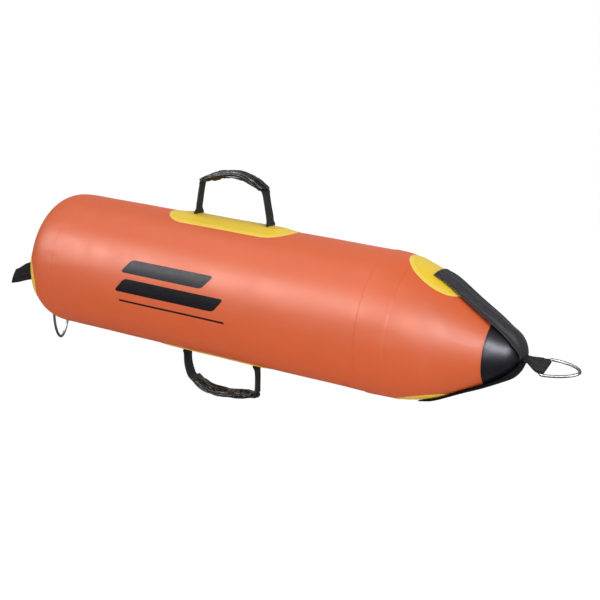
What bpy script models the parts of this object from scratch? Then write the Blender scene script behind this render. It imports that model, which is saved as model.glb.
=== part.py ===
"""Inflatable torpedo float with webbing handles, steel tow rings and a screw valve.

Lengths are in metres and +Z is up. The hull's axis is X with the nose at +X, and the
origin lies on that axis, half way along the hull. Every skin, patch and strap is laid
on one outline of the hull, which is measured along its surface from the tail's middle.
"""

import math

import bmesh
import bpy
from mathutils import Matrix, Vector

# Hull outline
HULL_RADIUS = 0.100
TUBE_LENGTH = 0.503
TAIL_DOME_DEPTH = 0.058
TAIL_ROUNDNESS = 3.6
NOSE_HALF_ANGLE = math.radians(28.9)
NOSE_SHOULDER_RADIUS = 0.206
NOSE_TIP_RADIUS = 0.035
NOSE_DROOP = 0.0092
DROOP_TURN = math.radians(115)
DROOP_POWER = 1.08
OUTLINE_STEPS = 60
BISECTIONS = 24
HULL_SEGMENTS = 40

# Coated fabric and its welds
SKIN = 0.0010
GAP = 0.0003
WRAP_GAP = 0.0006
SEAM_LAP = 0.020
SEAM_GROOVE = 0.0015
SEAM_PAST_SHOULDER = 0.016
TAPE_THICKNESS = 0.0005
SEAM_TAPE_WIDTH = 0.042
TAIL_TAPE_WIDTH = 0.030
LONG_TAPE_WIDTH = 0.030
LONG_TAPE_END_GAP = 0.004
LONG_TAPE_ANGLE = math.radians(-140)
CUT_OVERRUN = 0.004

# Nose
CAP_LENGTH = 0.043
CAP_THICKNESS = 0.0016
CONE_OPENING = 0.008
PATCH_THICKNESS = 0.0010
NOSE_PATCH_RADIUS = 0.046
NOSE_PATCH_STATION_SHARE = 0.645
STRAP_WIDTH = 0.050
STRAP_THICKNESS = 0.0016
STRAP_GAP = 0.0010
STRAP_START_BEHIND_PATCH_CENTRE = 0.002

# Tow rings and the loop at the nose
WIRE_RADIUS = 0.0020
RING_HALF_WIDTH = 0.0185
RING_DEPTH = 0.048
RING_CORNER_RADIUS = 0.004
RING_FULLNESS = 1.8
RING_SIDE_STEPS = 8
RING_CORNER_STEPS = 3
RUNNING_GAP = 0.0003
LOOP_WIDTH = 0.028
LOOP_HALF_THICKNESS = 0.0021
LOOP_STANDOFF = 0.0011
LOOP_LENGTH = 0.024
LOOP_WALL = 0.0020
LOOP_TWIST = math.radians(23)
LOOP_SAG = math.radians(12)
NOSE_RING_RISE = math.radians(18)
LOOP_ACROSS_STEPS = 4
LOOP_ARC_STEPS = 6

# Carrying handles
HANDLE_PATCH_LENGTH = 0.206
HANDLE_PATCH_WIDTH = 0.080
HANDLE_STATION = 0.249
WEBBING_WIDTH = 0.025
WEBBING_THICKNESS = 0.0022
ANCHOR_THICKNESS = 0.0020
ANCHOR_OVERHANG = 0.018
SLOT_GAP = 0.0008
FOOT_RISE = 0.0040
FOOT_SPAN = 0.120
SHOULDER_BEND = 0.006
TOP_SHOULDERS = (-0.0565, 0.0470)
TOP_SHOULDER_HEIGHTS = (0.050, 0.051)
TOP_CROWN_HEIGHT = 0.0682
TOP_CROWN_SHIFT_SHARE = 0.05
BOTTOM_SHOULDERS = (-0.0480, 0.0640)
BOTTOM_SHOULDER_HEIGHTS = (0.0405, 0.0475)
BOTTOM_CROWN_HEIGHT = 0.058
BOTTOM_CROWN_SHIFT_SHARE = -0.10
ARCH_STEPS = 12
BEND_STEPS = 4
GRIP_WIDTH = 0.0295
GRIP_THICKNESS = 0.0115
GRIP_END_SETBACK = 0.0045
GRIP_FLAP = 0.0060
GRIP_CLEARANCE = 0.0005
GRIP_SIDES = 12

# Tail handle
TAIL_HANDLE_DROP = 0.019
TAIL_FOOT_SPAN = 0.112
TAIL_SHOULDERS = (-0.050, 0.050)
TAIL_SHOULDER_REACH = 0.057
TAIL_CROWN_REACH = 0.067
TAIL_SAG_ANGLE = math.radians(24)
TAIL_SAG_START = 0.006

# Tail ring mount
TAIL_RING_RADIUS_OUT = 0.0835
TAIL_RING_PATCH_RADIUS = 0.022
TAIL_LOOP_WIDTH = 0.030
TAIL_LOOP_THICKNESS = 0.0018
TAIL_LOOP_HALF_LENGTH = 0.017
TAIL_LOOP_STEPS = 22
TAIL_RING_LEAN = math.radians(3)

# Valve
VALVE_STATION = 0.132
VALVE_PATCH_RADIUS = 0.036
VALVE_SEGMENTS = 24
COLLAR_RADIUS = 0.020
COLLAR_RIM_RADIUS = 0.0235
COLLAR_FLANGE_RADIUS = 0.028
COLLAR_BORE_RADIUS = 0.015
COLLAR_RIM_HEIGHT = 0.0030
COLLAR_FLANGE_THICKNESS = 0.0025
COLLAR_FLANGE_DEPTH = 0.0065
GASKET_THICKNESS = 0.0008
GASKET_RADIUS = 0.0185
NECK_FLANGE_RADIUS = 0.0190
NECK_FLANGE_THICKNESS = 0.0020
NECK_RADIUS = 0.0135
NECK_HEIGHT = 0.0095
NECK_BORE_RADIUS = 0.0090
SPIDER_BAR_WIDTH = 0.0030
SPIDER_BAR_THICKNESS = 0.0020
FLAP_PIN_RADIUS = 0.0016
FLAP_PIN_LENGTH = 0.0028
FLAP_RADIUS = 0.0120
FLAP_THICKNESS = 0.0010
CAP_SKIRT_RADIUS = 0.0175
CAP_WALL = 0.0026
CAP_TOP_THICKNESS = 0.0024
CAP_SKIRT_LIFT = 0.0018
CAP_EDGE_RADIUS = 0.0012
CAP_RIB_DEPTH = 0.0008
CAP_SEAL_THICKNESS = 0.0009
CAP_SEAL_WIDTH = 0.0036
TETHER_THICKNESS = 0.0010
TETHER_RING_WIDTH = 0.0030
TETHER_STRAP_WIDTH = 0.0070
TETHER_SINK = 0.0004

# Colours of the finishes
ORANGE = (0.74, 0.13, 0.042)
YELLOW = (0.87, 0.55, 0.035)
BLACK_FABRIC = (0.016, 0.016, 0.018)
WEBBING_BLACK = (0.020, 0.020, 0.022)
STEEL = (0.62, 0.61, 0.60)
VALVE_GREY = (0.055, 0.055, 0.060)
SEAL_BLACK = (0.012, 0.012, 0.012)

# Sizes that follow from those above
SHOULDER_TANGENT = NOSE_SHOULDER_RADIUS * math.tan(NOSE_HALF_ANGLE / 2)
CONE_APEX = SHOULDER_TANGENT + HULL_RADIUS / math.tan(NOSE_HALF_ANGLE)
TIP_CENTRE = CONE_APEX - NOSE_TIP_RADIUS / math.sin(NOSE_HALF_ANGLE)
NOSE_LENGTH = TIP_CENTRE + NOSE_TIP_RADIUS
HULL_LENGTH = TAIL_DOME_DEPTH + TUBE_LENGTH + NOSE_LENGTH
TAIL_SEAM_X = TAIL_DOME_DEPTH - HULL_LENGTH / 2
NOSE_START_X = TAIL_SEAM_X + TUBE_LENGTH
TIP_X = HULL_LENGTH / 2
NOSE_SEAM_X = NOSE_START_X + SEAM_PAST_SHOULDER
LAP_LIFT = -(SKIN + GAP)
PATCH_TOP = WRAP_GAP + PATCH_THICKNESS
ANCHOR_TOP = WRAP_GAP + ANCHOR_THICKNESS
TAPE_TOP = WRAP_GAP + TAPE_THICKNESS
CAP_TOP = WRAP_GAP + CAP_THICKNESS


def outline_points():
    """(x, radius) of the hull's outline, from the tail's middle to the tip."""
    points = []
    for i in range(OUTLINE_STEPS + 1):
        turn = math.pi / 2 * i / OUTLINE_STEPS
        power = 2 / TAIL_ROUNDNESS
        depth = max(math.cos(turn), 0) ** power
        points.append((TAIL_SEAM_X - TAIL_DOME_DEPTH * depth, HULL_RADIUS * math.sin(turn) ** power))
    for i in range(OUTLINE_STEPS + 1):
        turn = NOSE_HALF_ANGLE * i / OUTLINE_STEPS
        drop = NOSE_SHOULDER_RADIUS * (1 - math.cos(turn))
        points.append((NOSE_START_X + NOSE_SHOULDER_RADIUS * math.sin(turn), HULL_RADIUS - drop))
    for i in range(OUTLINE_STEPS + 1):
        turn = NOSE_HALF_ANGLE + (math.pi / 2 - NOSE_HALF_ANGLE) * i / OUTLINE_STEPS
        x = TIP_X - NOSE_TIP_RADIUS * (1 - math.sin(turn))
        points.append((x, NOSE_TIP_RADIUS * max(math.cos(turn), 0)))
    return points


def outline_table():
    """(distance along the surface, x, radius, outward normal) for each outline point."""
    points = [Vector(point) for point in outline_points()]
    sides = [(after - before).normalized() for before, after in zip(points, points[1:])]
    rows = []
    distance = 0
    for i, point in enumerate(points):
        if i:
            distance += (point - points[i - 1]).length
        along = sides[max(i - 1, 0)] + sides[min(i, len(sides) - 1)]
        normal = Vector((-along.y, along.x)).normalized()
        if i == 0:
            normal = Vector((-1, 0))
        if i == len(points) - 1:
            normal = Vector((1, 0))
        rows.append((distance, point.x, point.y, normal))
    return rows


OUTLINE = outline_table()
TIP_DISTANCE = OUTLINE[-1][0]


def on_outline(distance):
    """(x, radius, normal) at a distance along the surface from the tail's middle."""
    for before, after in zip(OUTLINE, OUTLINE[1:]):
        if distance <= after[0]:
            break
    span = after[0] - before[0]
    share = max(distance - before[0], 0) / span
    share = min(share, 1)
    x = before[1] + (after[1] - before[1]) * share
    radius = before[2] + (after[2] - before[2]) * share
    normal = before[3].lerp(after[3], share).normalized()
    return x, radius, normal


def distance_at(x):
    """The distance along the surface at which the outline passes x."""
    for before, after in zip(OUTLINE, OUTLINE[1:]):
        if before[1] <= x <= after[1]:
            return before[0] + (after[0] - before[0]) * (x - before[1]) / (after[1] - before[1])
    return TIP_DISTANCE


def droop(x):
    """How far the hull's centre hangs below the axis at x, most of it half way down the nose."""
    share = min(max((x - NOSE_SEAM_X) / (TIP_X - NOSE_SEAM_X), 0), 1)
    return NOSE_DROOP * math.sin(DROOP_TURN * share ** DROOP_POWER)


def hull_point(distance, angle, lift=0):
    """A point over the hull's surface. The angle turns from the top towards -Y."""
    x, radius, normal = on_outline(distance)
    radius += normal.y * lift
    return Vector((x + normal.x * lift, -math.sin(angle) * radius, math.cos(angle) * radius - droop(x)))


SEAM_DISTANCE = distance_at(TAIL_SEAM_X)
NOSE_SEAM_DISTANCE = distance_at(NOSE_SEAM_X)
SHOULDER_START = distance_at(NOSE_START_X)
SHOULDER_END = distance_at(NOSE_START_X + NOSE_SHOULDER_RADIUS * math.sin(NOSE_HALF_ANGLE))
TIP_ARC_START = TIP_DISTANCE - NOSE_TIP_RADIUS * (math.pi / 2 - NOSE_HALF_ANGLE)
CAP_START = distance_at(TIP_X - CAP_LENGTH)
SEAM_TAPE_START = NOSE_SEAM_DISTANCE - SEAM_TAPE_WIDTH / 2
SEAM_TAPE_END = NOSE_SEAM_DISTANCE + SEAM_TAPE_WIDTH / 2
NOSE_PATCH_CENTRE = distance_at(TIP_X - NOSE_LENGTH * NOSE_PATCH_STATION_SHARE)
HANDLE_DISTANCE = distance_at(TAIL_SEAM_X + HANDLE_STATION)
VALVE_DISTANCE = distance_at(TAIL_SEAM_X + VALVE_STATION)


def material(name, colour, roughness, metallic=0.0):
    made = bpy.data.materials.new(name)
    made.use_nodes = True
    shader = made.node_tree.nodes["Principled BSDF"]
    shader.inputs["Base Color"].default_value = (*colour, 1)
    shader.inputs["Roughness"].default_value = roughness
    shader.inputs["Metallic"].default_value = metallic
    made.diffuse_color = (*colour, 1)
    return made


def finish(name, bm, look):
    """The object of a closed mesh, its faces turned outwards and its round sides smooth."""
    bmesh.ops.recalc_face_normals(bm, faces=bm.faces)
    mesh = bpy.data.meshes.new(name)
    bm.to_mesh(mesh)
    bm.free()
    mesh.materials.append(look)
    mesh.shade_smooth()
    mesh.set_sharp_from_angle(angle=math.radians(35))
    made = bpy.data.objects.new(name, mesh)
    bpy.context.collection.objects.link(made)
    return made


def put_on_axis(made, origin):
    """Moves an object's origin on to its joint, leaving its shape where it is."""
    made.data.transform(Matrix.Translation(-origin))
    made.location = origin


def loft(bm, rings, wrap=False):
    """Faces between rings of points. A ring of one point closes an end to a pole."""
    made = [[bm.verts.new(point) for point in ring] for ring in rings]
    pairs = list(zip(made, made[1:]))
    if wrap:
        pairs.append((made[-1], made[0]))
    for low, high in pairs:
        count = max(len(low), len(high))
        for i in range(count):
            corners = [low[i % len(low)], low[(i + 1) % len(low)]]
            corners += [high[(i + 1) % len(high)], high[i % len(high)]]
            bm.faces.new(dict.fromkeys(corners))
    return made


def hull_ring(distance, lift):
    """One ring of the hull, or its pole at either end."""
    if on_outline(distance)[1] < SKIN:
        x, _, normal = on_outline(distance)
        return [Vector((x + normal.x * lift, 0, -droop(x)))]
    turns = [2 * math.pi * i / HULL_SEGMENTS for i in range(HULL_SEGMENTS)]
    return [hull_point(distance, turn, lift) for turn in turns]


def shell(name, look, stations):
    """A skin round the hull, from (distance, outer lift, inner lift) at each station."""
    bm = bmesh.new()
    rings = [hull_ring(distance, outer) for distance, outer, _ in stations]
    rings += [hull_ring(distance, inner) for distance, _, inner in reversed(stations)]
    pole = len(rings[0]) == 1 or len(rings[len(stations) - 1]) == 1
    if len(rings[len(stations) - 1]) == 1:
        rings = rings[len(stations):] + rings[:len(stations)]
    loft(bm, rings, wrap=not pole)
    return finish(name, bm, look)


def spread(start, end, count):
    return [start + (end - start) * i / count for i in range(count + 1)]


def dome_distances(count):
    """Distances from the tail's middle to its seam, one for each even step of the outline's turn."""
    found = [0]
    for distance, _, _, normal in OUTLINE:
        turned_by = math.atan2(normal.y, -normal.x) / (math.pi / 2)
        if turned_by * count >= len(found) and distance < SEAM_DISTANCE:
            found.append(distance)
    return found[:count] + [SEAM_DISTANCE]


def nose_distances():
    """Distances of the rings round the nose, which all that is wrapped round it shares."""
    shoulder = [SHOULDER_START] + spread(NOSE_SEAM_DISTANCE, SHOULDER_END, 3)
    cone = spread(SHOULDER_END, CAP_START, 2)
    return shoulder + cone[1:] + spread(TIP_ARC_START, TIP_DISTANCE, 4)


def within(distances, start, end):
    """The start, the distances that lie well inside, and the end."""
    inside = [value for value in sorted(distances) if start + SEAM_GROOVE < value < end - SEAM_GROOVE]
    return [start] + inside + [end]


def tail_panel(look):
    stations = [(distance, 0, -SKIN) for distance in dome_distances(8)]
    for distance in (SEAM_DISTANCE + SEAM_GROOVE, SEAM_DISTANCE + SEAM_GROOVE + SEAM_LAP):
        stations.append((distance, LAP_LIFT, LAP_LIFT - SKIN))
    return shell("tail_panel", look, stations)


def tube_panel(look):
    rings = within(nose_distances(), SEAM_DISTANCE + SEAM_GROOVE, NOSE_SEAM_DISTANCE - SEAM_GROOVE)
    tube = shell("tube_panel", look, [(distance, 0, -SKIN) for distance in rings])
    hole = bmesh.new()
    depth = HULL_RADIUS + CUT_OVERRUN
    bmesh.ops.create_cone(
        hole,
        cap_ends=True,
        segments=VALVE_SEGMENTS,
        radius1=COLLAR_RADIUS + GAP,
        radius2=COLLAR_RADIUS + GAP,
        depth=depth,
        matrix=valve_frame() @ Matrix.Translation((0, 0, depth / 2)),
    )
    cutter = finish("valve_hole_cutter", hole, look)
    cutter.hide_render = True
    cutter.display_type = "WIRE"
    cut = tube.modifiers.new("valve hole", "BOOLEAN")
    cut.operation = "DIFFERENCE"
    cut.object = cutter
    return tube


def nose_cone_panel(look):
    seam = NOSE_SEAM_DISTANCE
    lap = within(nose_distances(), seam - SEAM_GROOVE - SEAM_LAP, seam - SEAM_GROOVE)
    stations = [(distance, LAP_LIFT, LAP_LIFT - SKIN) for distance in lap]
    cone = within(nose_distances(), seam, TIP_DISTANCE - CONE_OPENING)
    stations += [(distance, 0, -SKIN) for distance in cone]
    return shell("nose_cone_panel", look, stations)


def band(name, look, start, end, lift):
    """A tape round the hull."""
    distances = within(nose_distances(), start, end)
    return shell(name, look, [(distance, lift + TAPE_THICKNESS, lift) for distance in distances])


def tail_seam_tape(look):
    """The tape inside the tail's lap, from one side of its edge to the other."""
    end = SEAM_DISTANCE + SEAM_GROOVE + SEAM_LAP
    lift = LAP_LIFT - SKIN - GAP - TAPE_THICKNESS
    return band("tail_seam_tape", look, end - TAIL_TAPE_WIDTH, end, lift)


def long_seam_tape(look):
    """The tape over the tube's long seam, low on the far side."""
    start = SEAM_DISTANCE + SEAM_GROOVE + LONG_TAPE_END_GAP
    end = SEAM_TAPE_START - LONG_TAPE_END_GAP
    across = across_shares(LONG_TAPE_WIDTH / 2)
    rows = [(u, across) for u in spread(start, end, 2)]

    def place(u, v):
        return hull_point(u, LONG_TAPE_ANGLE - v / on_outline(u)[1], WRAP_GAP)

    return sheet("long_seam_tape", look, rows, place, TAPE_THICKNESS)


def nose_cap(look):
    distances = within(nose_distances(), CAP_START, TIP_DISTANCE)
    return shell("nose_cap", look, [(distance, CAP_TOP, WRAP_GAP) for distance in distances])


def solidify(made, thickness):
    """Gives a sheet its thickness outwards from the hull."""
    wall = made.modifiers.new("thickness", "SOLIDIFY")
    wall.thickness = thickness
    wall.offset = 1
    wall.use_even_offset = True


def sheet(name, look, rows, place, thickness, holes=()):
    """A flat cut of (along, [across...]) rows, laid in place and given its thickness.

    A hole is (least along, most along, half width) of a slot left out of the sheet.
    """
    bm = bmesh.new()
    grid = [[bm.verts.new(place(u, v)) for v in across] for u, across in rows]
    for i in range(len(rows) - 1):
        for j in range(len(rows[0][1]) - 1):
            u = (rows[i][0] + rows[i + 1][0]) / 2
            v = (rows[i][1][j] + rows[i][1][j + 1]) / 2
            if any(low < u < high and abs(v) < half for low, high, half in holes):
                continue
            bm.faces.new((grid[i][j], grid[i + 1][j], grid[i + 1][j + 1], grid[i][j + 1]))
    loose = [vert for vert in bm.verts if not vert.link_faces]
    bmesh.ops.delete(bm, geom=loose, context="VERTS")
    mesh = bpy.data.meshes.new(name)
    bm.to_mesh(mesh)
    bm.free()
    mesh.materials.append(look)
    made = bpy.data.objects.new(name, mesh)
    bpy.context.collection.objects.link(made)
    solidify(made, thickness)
    return made


def separate(values, least):
    """The values in order, without those that lie closer than least to the one before."""
    kept = []
    for value in sorted(values):
        if not kept or value - kept[-1] > least:
            kept.append(value)
    return kept


def round_rows(radius, count):
    """(along, half width) rows of a round patch."""
    widest = math.radians(82)
    turns = [widest * (2 * i / count - 1) for i in range(count + 1)]
    return [(radius * math.sin(turn), radius * math.cos(turn)) for turn in turns]


def across_shares(half, shares=(-1, -0.67, -0.33, 0, 0.33, 0.67, 1)):
    return [half * share for share in shares]


def eased(share):
    """A share from 0 to 1 with an even start and end."""
    share = min(max(share, 0), 1)
    return share * share * (3 - 2 * share)


def nose_patch_lift(distance):
    """The patch's underside over the hull: on the seam tape first, then down on to the cone."""
    down = eased((distance - SEAM_TAPE_END) / SEAM_LAP)
    return TAPE_TOP + (WRAP_GAP - TAPE_TOP) * down + WRAP_GAP * (1 - down)


def nose_patch(name, look, side):
    """A round patch on the nose, side 0 on top and 1 below."""
    rows = [(u, across_shares(half)) for u, half in round_rows(NOSE_PATCH_RADIUS, 12)]

    def place(u, v):
        distance = NOSE_PATCH_CENTRE + u
        radius = on_outline(distance)[1]
        return hull_point(distance, math.pi * side - v / radius, nose_patch_lift(distance))

    return sheet(name, look, rows, place, PATCH_THICKNESS)


def strap_lift(distance):
    """The strap's underside over the hull: on the patch first, then up on to the cap."""
    on_patch = PATCH_TOP + STRAP_GAP
    on_cap = CAP_TOP + STRAP_GAP
    leaves_patch = NOSE_PATCH_CENTRE + NOSE_PATCH_RADIUS
    share = (distance - leaves_patch) / (CAP_START - CUT_OVERRUN - leaves_patch)
    return on_patch + (on_cap - on_patch) * min(max(share, 0), 1)


def sideways(distance, side, across):
    """(distance, angle) of the hull's surface to the side of its top or bottom line.

    The point lies in the plane that stands square on the surface at that line.
    """
    _, radius, normal = on_outline(distance)
    up = 1 - 2 * side
    curve = NOSE_TIP_RADIUS if distance > TIP_ARC_START else radius / normal.y
    start = hull_point(distance, math.pi * side)
    start.y = curve * math.sin(across / curve) * up
    inward = Vector((-normal.x, 0, -normal.y * up))
    low = 0
    high = curve
    for _ in range(BISECTIONS):
        depth = (low + high) / 2
        point = start + inward * depth
        outside = math.hypot(point.y, point.z + droop(point.x)) > on_outline(distance_at(point.x))[1]
        low, high = (depth, high) if outside else (low, depth)
    return distance_at(point.x), math.atan2(-point.y, point.z + droop(point.x))


def nose_strap(name, look, side, end):
    """Webbing down the cone to the tip, bent across to the hull's own curve."""
    start = NOSE_PATCH_CENTRE - STRAP_START_BEHIND_PATCH_CENTRE
    along = within(nose_distances() + spread(start, CAP_START, 4), start, end)
    stations = separate(along, SEAM_GROOVE)
    rows = [(u, across_shares(STRAP_WIDTH / 2)) for u in stations]

    def place(u, v):
        distance, angle = sideways(u, side, v)
        return hull_point(distance, angle, strap_lift(u))

    return sheet(name, look, rows, place, STRAP_THICKNESS)


def ring_points():
    """(depth, across) along a tow ring's wire, from one end of its bar round and back."""
    corner = RING_CORNER_RADIUS
    half = []
    for i in range(RING_CORNER_STEPS + 1):
        turn = math.pi / 2 * i / RING_CORNER_STEPS
        across = RING_HALF_WIDTH - corner + corner * math.sin(turn)
        half.append((corner - corner * math.cos(turn), across))
    for i in range(1, RING_SIDE_STEPS + 1):
        turn = math.pi / 2 * i / (RING_SIDE_STEPS + 0.5)
        power = 2 / RING_FULLNESS
        depth = corner + (RING_DEPTH - corner) * math.sin(turn) ** power
        half.append((depth, RING_HALF_WIDTH * math.cos(turn) ** power))
    crown = RING_DEPTH
    half[-1] = (crown, half[-1][1])
    return half + [(depth, -across) for depth, across in reversed(half)]


def tow_ring(name, look, centre, depth_way, bar_way):
    """A welded D ring of round wire, whose origin lies in the middle of its bar."""
    curve = bpy.data.curves.new(name, "CURVE")
    curve.dimensions = "3D"
    curve.twist_mode = "Z_UP"
    curve.bevel_depth = WIRE_RADIUS
    curve.bevel_resolution = 2
    curve.use_fill_caps = True
    line = curve.splines.new("POLY")
    points = ring_points()
    line.points.add(len(points) - 1)
    line.use_cyclic_u = True
    for point, (depth, across) in zip(line.points, points):
        point.co = (depth, across, 0, 1)
        point.tilt = math.pi / 8
    curve.materials.append(look)
    made = bpy.data.objects.new(name, curve)
    bpy.context.collection.objects.link(made)
    facing = depth_way.cross(bar_way)
    turned = Matrix((depth_way, bar_way, facing)).transposed()
    made.matrix_world = Matrix.Translation(centre) @ turned.to_4x4()
    return made


def nose_loop_frame():
    """The nose loop's hinge and the middle of its ring's bar."""
    root_x = TIP_X + CAP_TOP + LOOP_STANDOFF + LOOP_HALF_THICKNESS
    root_z = -droop(TIP_X) - GAP - LOOP_HALF_THICKNESS
    root = Vector((root_x, 0, root_z))
    return root, root + nose_loop_ways(LOOP_TWIST)[0] * LOOP_LENGTH


def nose_loop_ways(twist):
    """The nose loop's directions along, across and up, where its webbing has turned by twist."""
    sag = Matrix.Rotation(LOOP_SAG, 3, "Y")
    along = sag @ Vector((1, 0, 0))
    across = sag @ Vector((0, math.cos(twist), math.sin(twist)))
    return along, across, along.cross(across)


def nose_ring_loop(look):
    """Webbing stitched round the bar: flat at the root, twisted and opened at the bar."""
    root, bar = nose_loop_frame()
    bar_way = nose_loop_ways(LOOP_TWIST)[1]
    eye = WIRE_RADIUS + RUNNING_GAP + LOOP_WALL
    side = []
    for i in range(LOOP_ARC_STEPS + 1):
        turn = math.pi / 2 + math.pi * i / LOOP_ARC_STEPS
        side.append((LOOP_HALF_THICKNESS * math.cos(turn), LOOP_HALF_THICKNESS * math.sin(turn)))
    for i in range(LOOP_ARC_STEPS + 3):
        turn = -math.radians(115) + math.radians(230) * i / (LOOP_ARC_STEPS + 2)
        side.append((LOOP_LENGTH + eye * math.cos(turn), eye * math.sin(turn)))
    middle = LOOP_LENGTH / 2
    side.append((middle, LOOP_HALF_THICKNESS))
    side.insert(LOOP_ARC_STEPS + 1, (middle, -LOOP_HALF_THICKNESS))

    def place(along, height, across):
        twist = LOOP_TWIST * min(max(along / LOOP_LENGTH, 0), 1)
        ahead, wide, up = nose_loop_ways(twist)
        return root + ahead * along + up * height + wide * across

    bm = bmesh.new()
    layers = spread(-LOOP_WIDTH / 2, LOOP_WIDTH / 2, LOOP_ACROSS_STEPS)
    rings = [[place(along, height, across) for along, height in side] for across in layers]
    made = loft(bm, rings)
    bm.faces.new(made[0])
    bm.faces.new(made[-1])
    bmesh.ops.triangulate(bm, faces=bm.faces)
    loop = finish("nose_ring_loop", bm, look)
    bore = bmesh.new()
    bmesh.ops.create_cone(
        bore,
        cap_ends=True,
        segments=16,
        radius1=WIRE_RADIUS + RUNNING_GAP,
        radius2=WIRE_RADIUS + RUNNING_GAP,
        depth=LOOP_WIDTH + CUT_OVERRUN,
        matrix=Matrix.Translation(bar) @ bar_way.to_track_quat("Z", "Y").to_matrix().to_4x4(),
    )
    cutter = finish("bar_bore_cutter", bore, look)
    cutter.hide_render = True
    cutter.display_type = "WIRE"
    cut = loop.modifiers.new("bar bore", "BOOLEAN")
    cut.operation = "DIFFERENCE"
    cut.object = cutter
    put_on_axis(loop, root)
    return loop


def fillet(points, corner, radius):
    """The points with one corner of the line rounded."""
    before = (points[corner - 1] - points[corner]).normalized()
    after = (points[corner + 1] - points[corner]).normalized()
    half = before.angle(after) / 2
    reach = radius / math.tan(half)
    start = points[corner] + before * reach
    end = points[corner] + after * reach
    arc = []
    for i in range(BEND_STEPS + 1):
        share = i / BEND_STEPS
        low = start.lerp(points[corner], share)
        high = points[corner].lerp(end, share)
        arc.append(low.lerp(high, share))
    return points[:corner] + arc + points[corner + 1:]


def arch(shoulders, heights, crown, shift, steps):
    """(along, height) of a handle's arch between its two shoulders."""
    start, end = shoulders
    peak = start + (end - start) * (0.5 + shift)
    points = []
    for i in range(steps + 1):
        along = start + (end - start) * i / steps
        level = heights[0] + (heights[1] - heights[0]) * i / steps
        reach = (along - peak) / ((start if along < peak else end) - peak)
        points.append(Vector((along, level + (crown - level) * (1 - reach ** 2))))
    return points


def handle_path(foot_span, shoulders, heights, crown, shift):
    """(along, height) down the middle of the webbing, from foot to foot."""
    foot = ANCHOR_TOP + GAP
    ends = [Vector((-foot_span / 2, foot)), Vector((-foot_span / 2, foot + FOOT_RISE))]
    points = ends + arch(shoulders, heights, crown, shift, ARCH_STEPS)
    points += [Vector((-end.x, end.y)) for end in reversed(ends)]
    points = fillet(points, len(points) - 3, SHOULDER_BEND / 2)
    return fillet(points, 2, SHOULDER_BEND / 2)


def ribbon(name, look, points, wide_ways, width, thickness):
    """A strip with softened edges along 3D points, its width along wide_ways."""
    edge_share = 0.36
    outline = [(-1, -edge_share), (-1 + thickness / width, -1), (1 - thickness / width, -1), (1, -edge_share)]
    outline += [(-across, -height) for across, height in outline]
    bm = bmesh.new()
    rings = []
    for i, point in enumerate(points):
        along = (points[min(i + 1, len(points) - 1)] - points[max(i - 1, 0)]).normalized()
        wide = wide_ways[i]
        high = along.cross(wide).normalized()
        ring = [point + wide * (width / 2 * a) + high * (thickness / 2 * h) for a, h in outline]
        rings.append(ring)
    made = loft(bm, rings)
    bm.faces.new(made[0])
    bm.faces.new(made[-1])
    return finish(name, bm, look)


def handle_place(side, along, height, across=0):
    """A point of a carrying handle, side 0 on top of the hull and 1 below it."""
    up = 1 - 2 * side
    x = TAIL_SEAM_X + HANDLE_STATION + along
    return Vector((x, across * up, (on_outline(HANDLE_DISTANCE)[1] + height) * up))


def handle_webbing(name, look, side, shape):
    path = handle_path(FOOT_SPAN, *shape)
    points = [handle_place(side, along, height) for along, height in path]
    wide = [Vector((0, 1, 0))] * len(points)
    made = ribbon(name, look, points, wide, WEBBING_WIDTH, WEBBING_THICKNESS)
    put_on_axis(made, handle_place(side, 0, PATCH_TOP + ANCHOR_TOP))
    return made


def rounded_section(width, height, power):
    """(across, height) round a soft rectangle."""
    points = []
    for i in range(GRIP_SIDES):
        turn = 2 * math.pi * (i + 0.5) / GRIP_SIDES
        across = math.copysign(abs(math.cos(turn)) ** (2 / power), math.cos(turn))
        tall = math.copysign(abs(math.sin(turn)) ** (2 / power), math.sin(turn))
        points.append((width / 2 * across, height / 2 * tall))
    return points


def handle_grip(name, look, side, shape):
    """The padded sleeve round the webbing, its outer wall running on past its inner one."""
    line = arch(*shape, ARCH_STEPS)
    setback = (line[1] - line[0]).normalized() * GRIP_END_SETBACK
    line[0] = line[0] + setback
    line[-1] = line[-1] + (line[-2] - line[-1]).normalized() * GRIP_END_SETBACK
    outer = rounded_section(GRIP_WIDTH, GRIP_THICKNESS, 4)
    bore_width = WEBBING_WIDTH + 2 * GRIP_CLEARANCE
    inner = rounded_section(bore_width, WEBBING_THICKNESS + 2 * GRIP_CLEARANCE, 9)
    walls = {"outer": [], "inner": []}
    for i, point in enumerate(line):
        along = (line[min(i + 1, len(line) - 1)] - line[max(i - 1, 0)]).normalized()
        up = Vector((-along.y, along.x))
        end = (i == len(line) - 1) - (i == 0)
        for wall, section in (("outer", outer), ("inner", inner)):
            ring = []
            for across, tall in section:
                flap = end * GRIP_FLAP * max(tall / (GRIP_THICKNESS / 2), 0)
                spot = point + up * tall + along * flap
                ring.append(handle_place(side, spot.x, spot.y, across))
            walls[wall].append(ring)
    bm = bmesh.new()
    loft(bm, walls["outer"] + walls["inner"][::-1], wrap=True)
    made = finish(name, bm, look)
    put_on_axis(made, handle_place(side, 0, PATCH_TOP + ANCHOR_TOP))
    return made


def mirrored(values):
    """Values to one side of 0, with their like on the other side."""
    return [-value for value in values[:0:-1]] + values


def inner_lines(foot_span, between):
    """Lines across a handle's patch and anchor from the middle to the far edge of a slot."""
    slot = WEBBING_THICKNESS / 2 + SLOT_GAP
    return spread(0, foot_span / 2 - slot, between) + [foot_span / 2 + slot]


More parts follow.
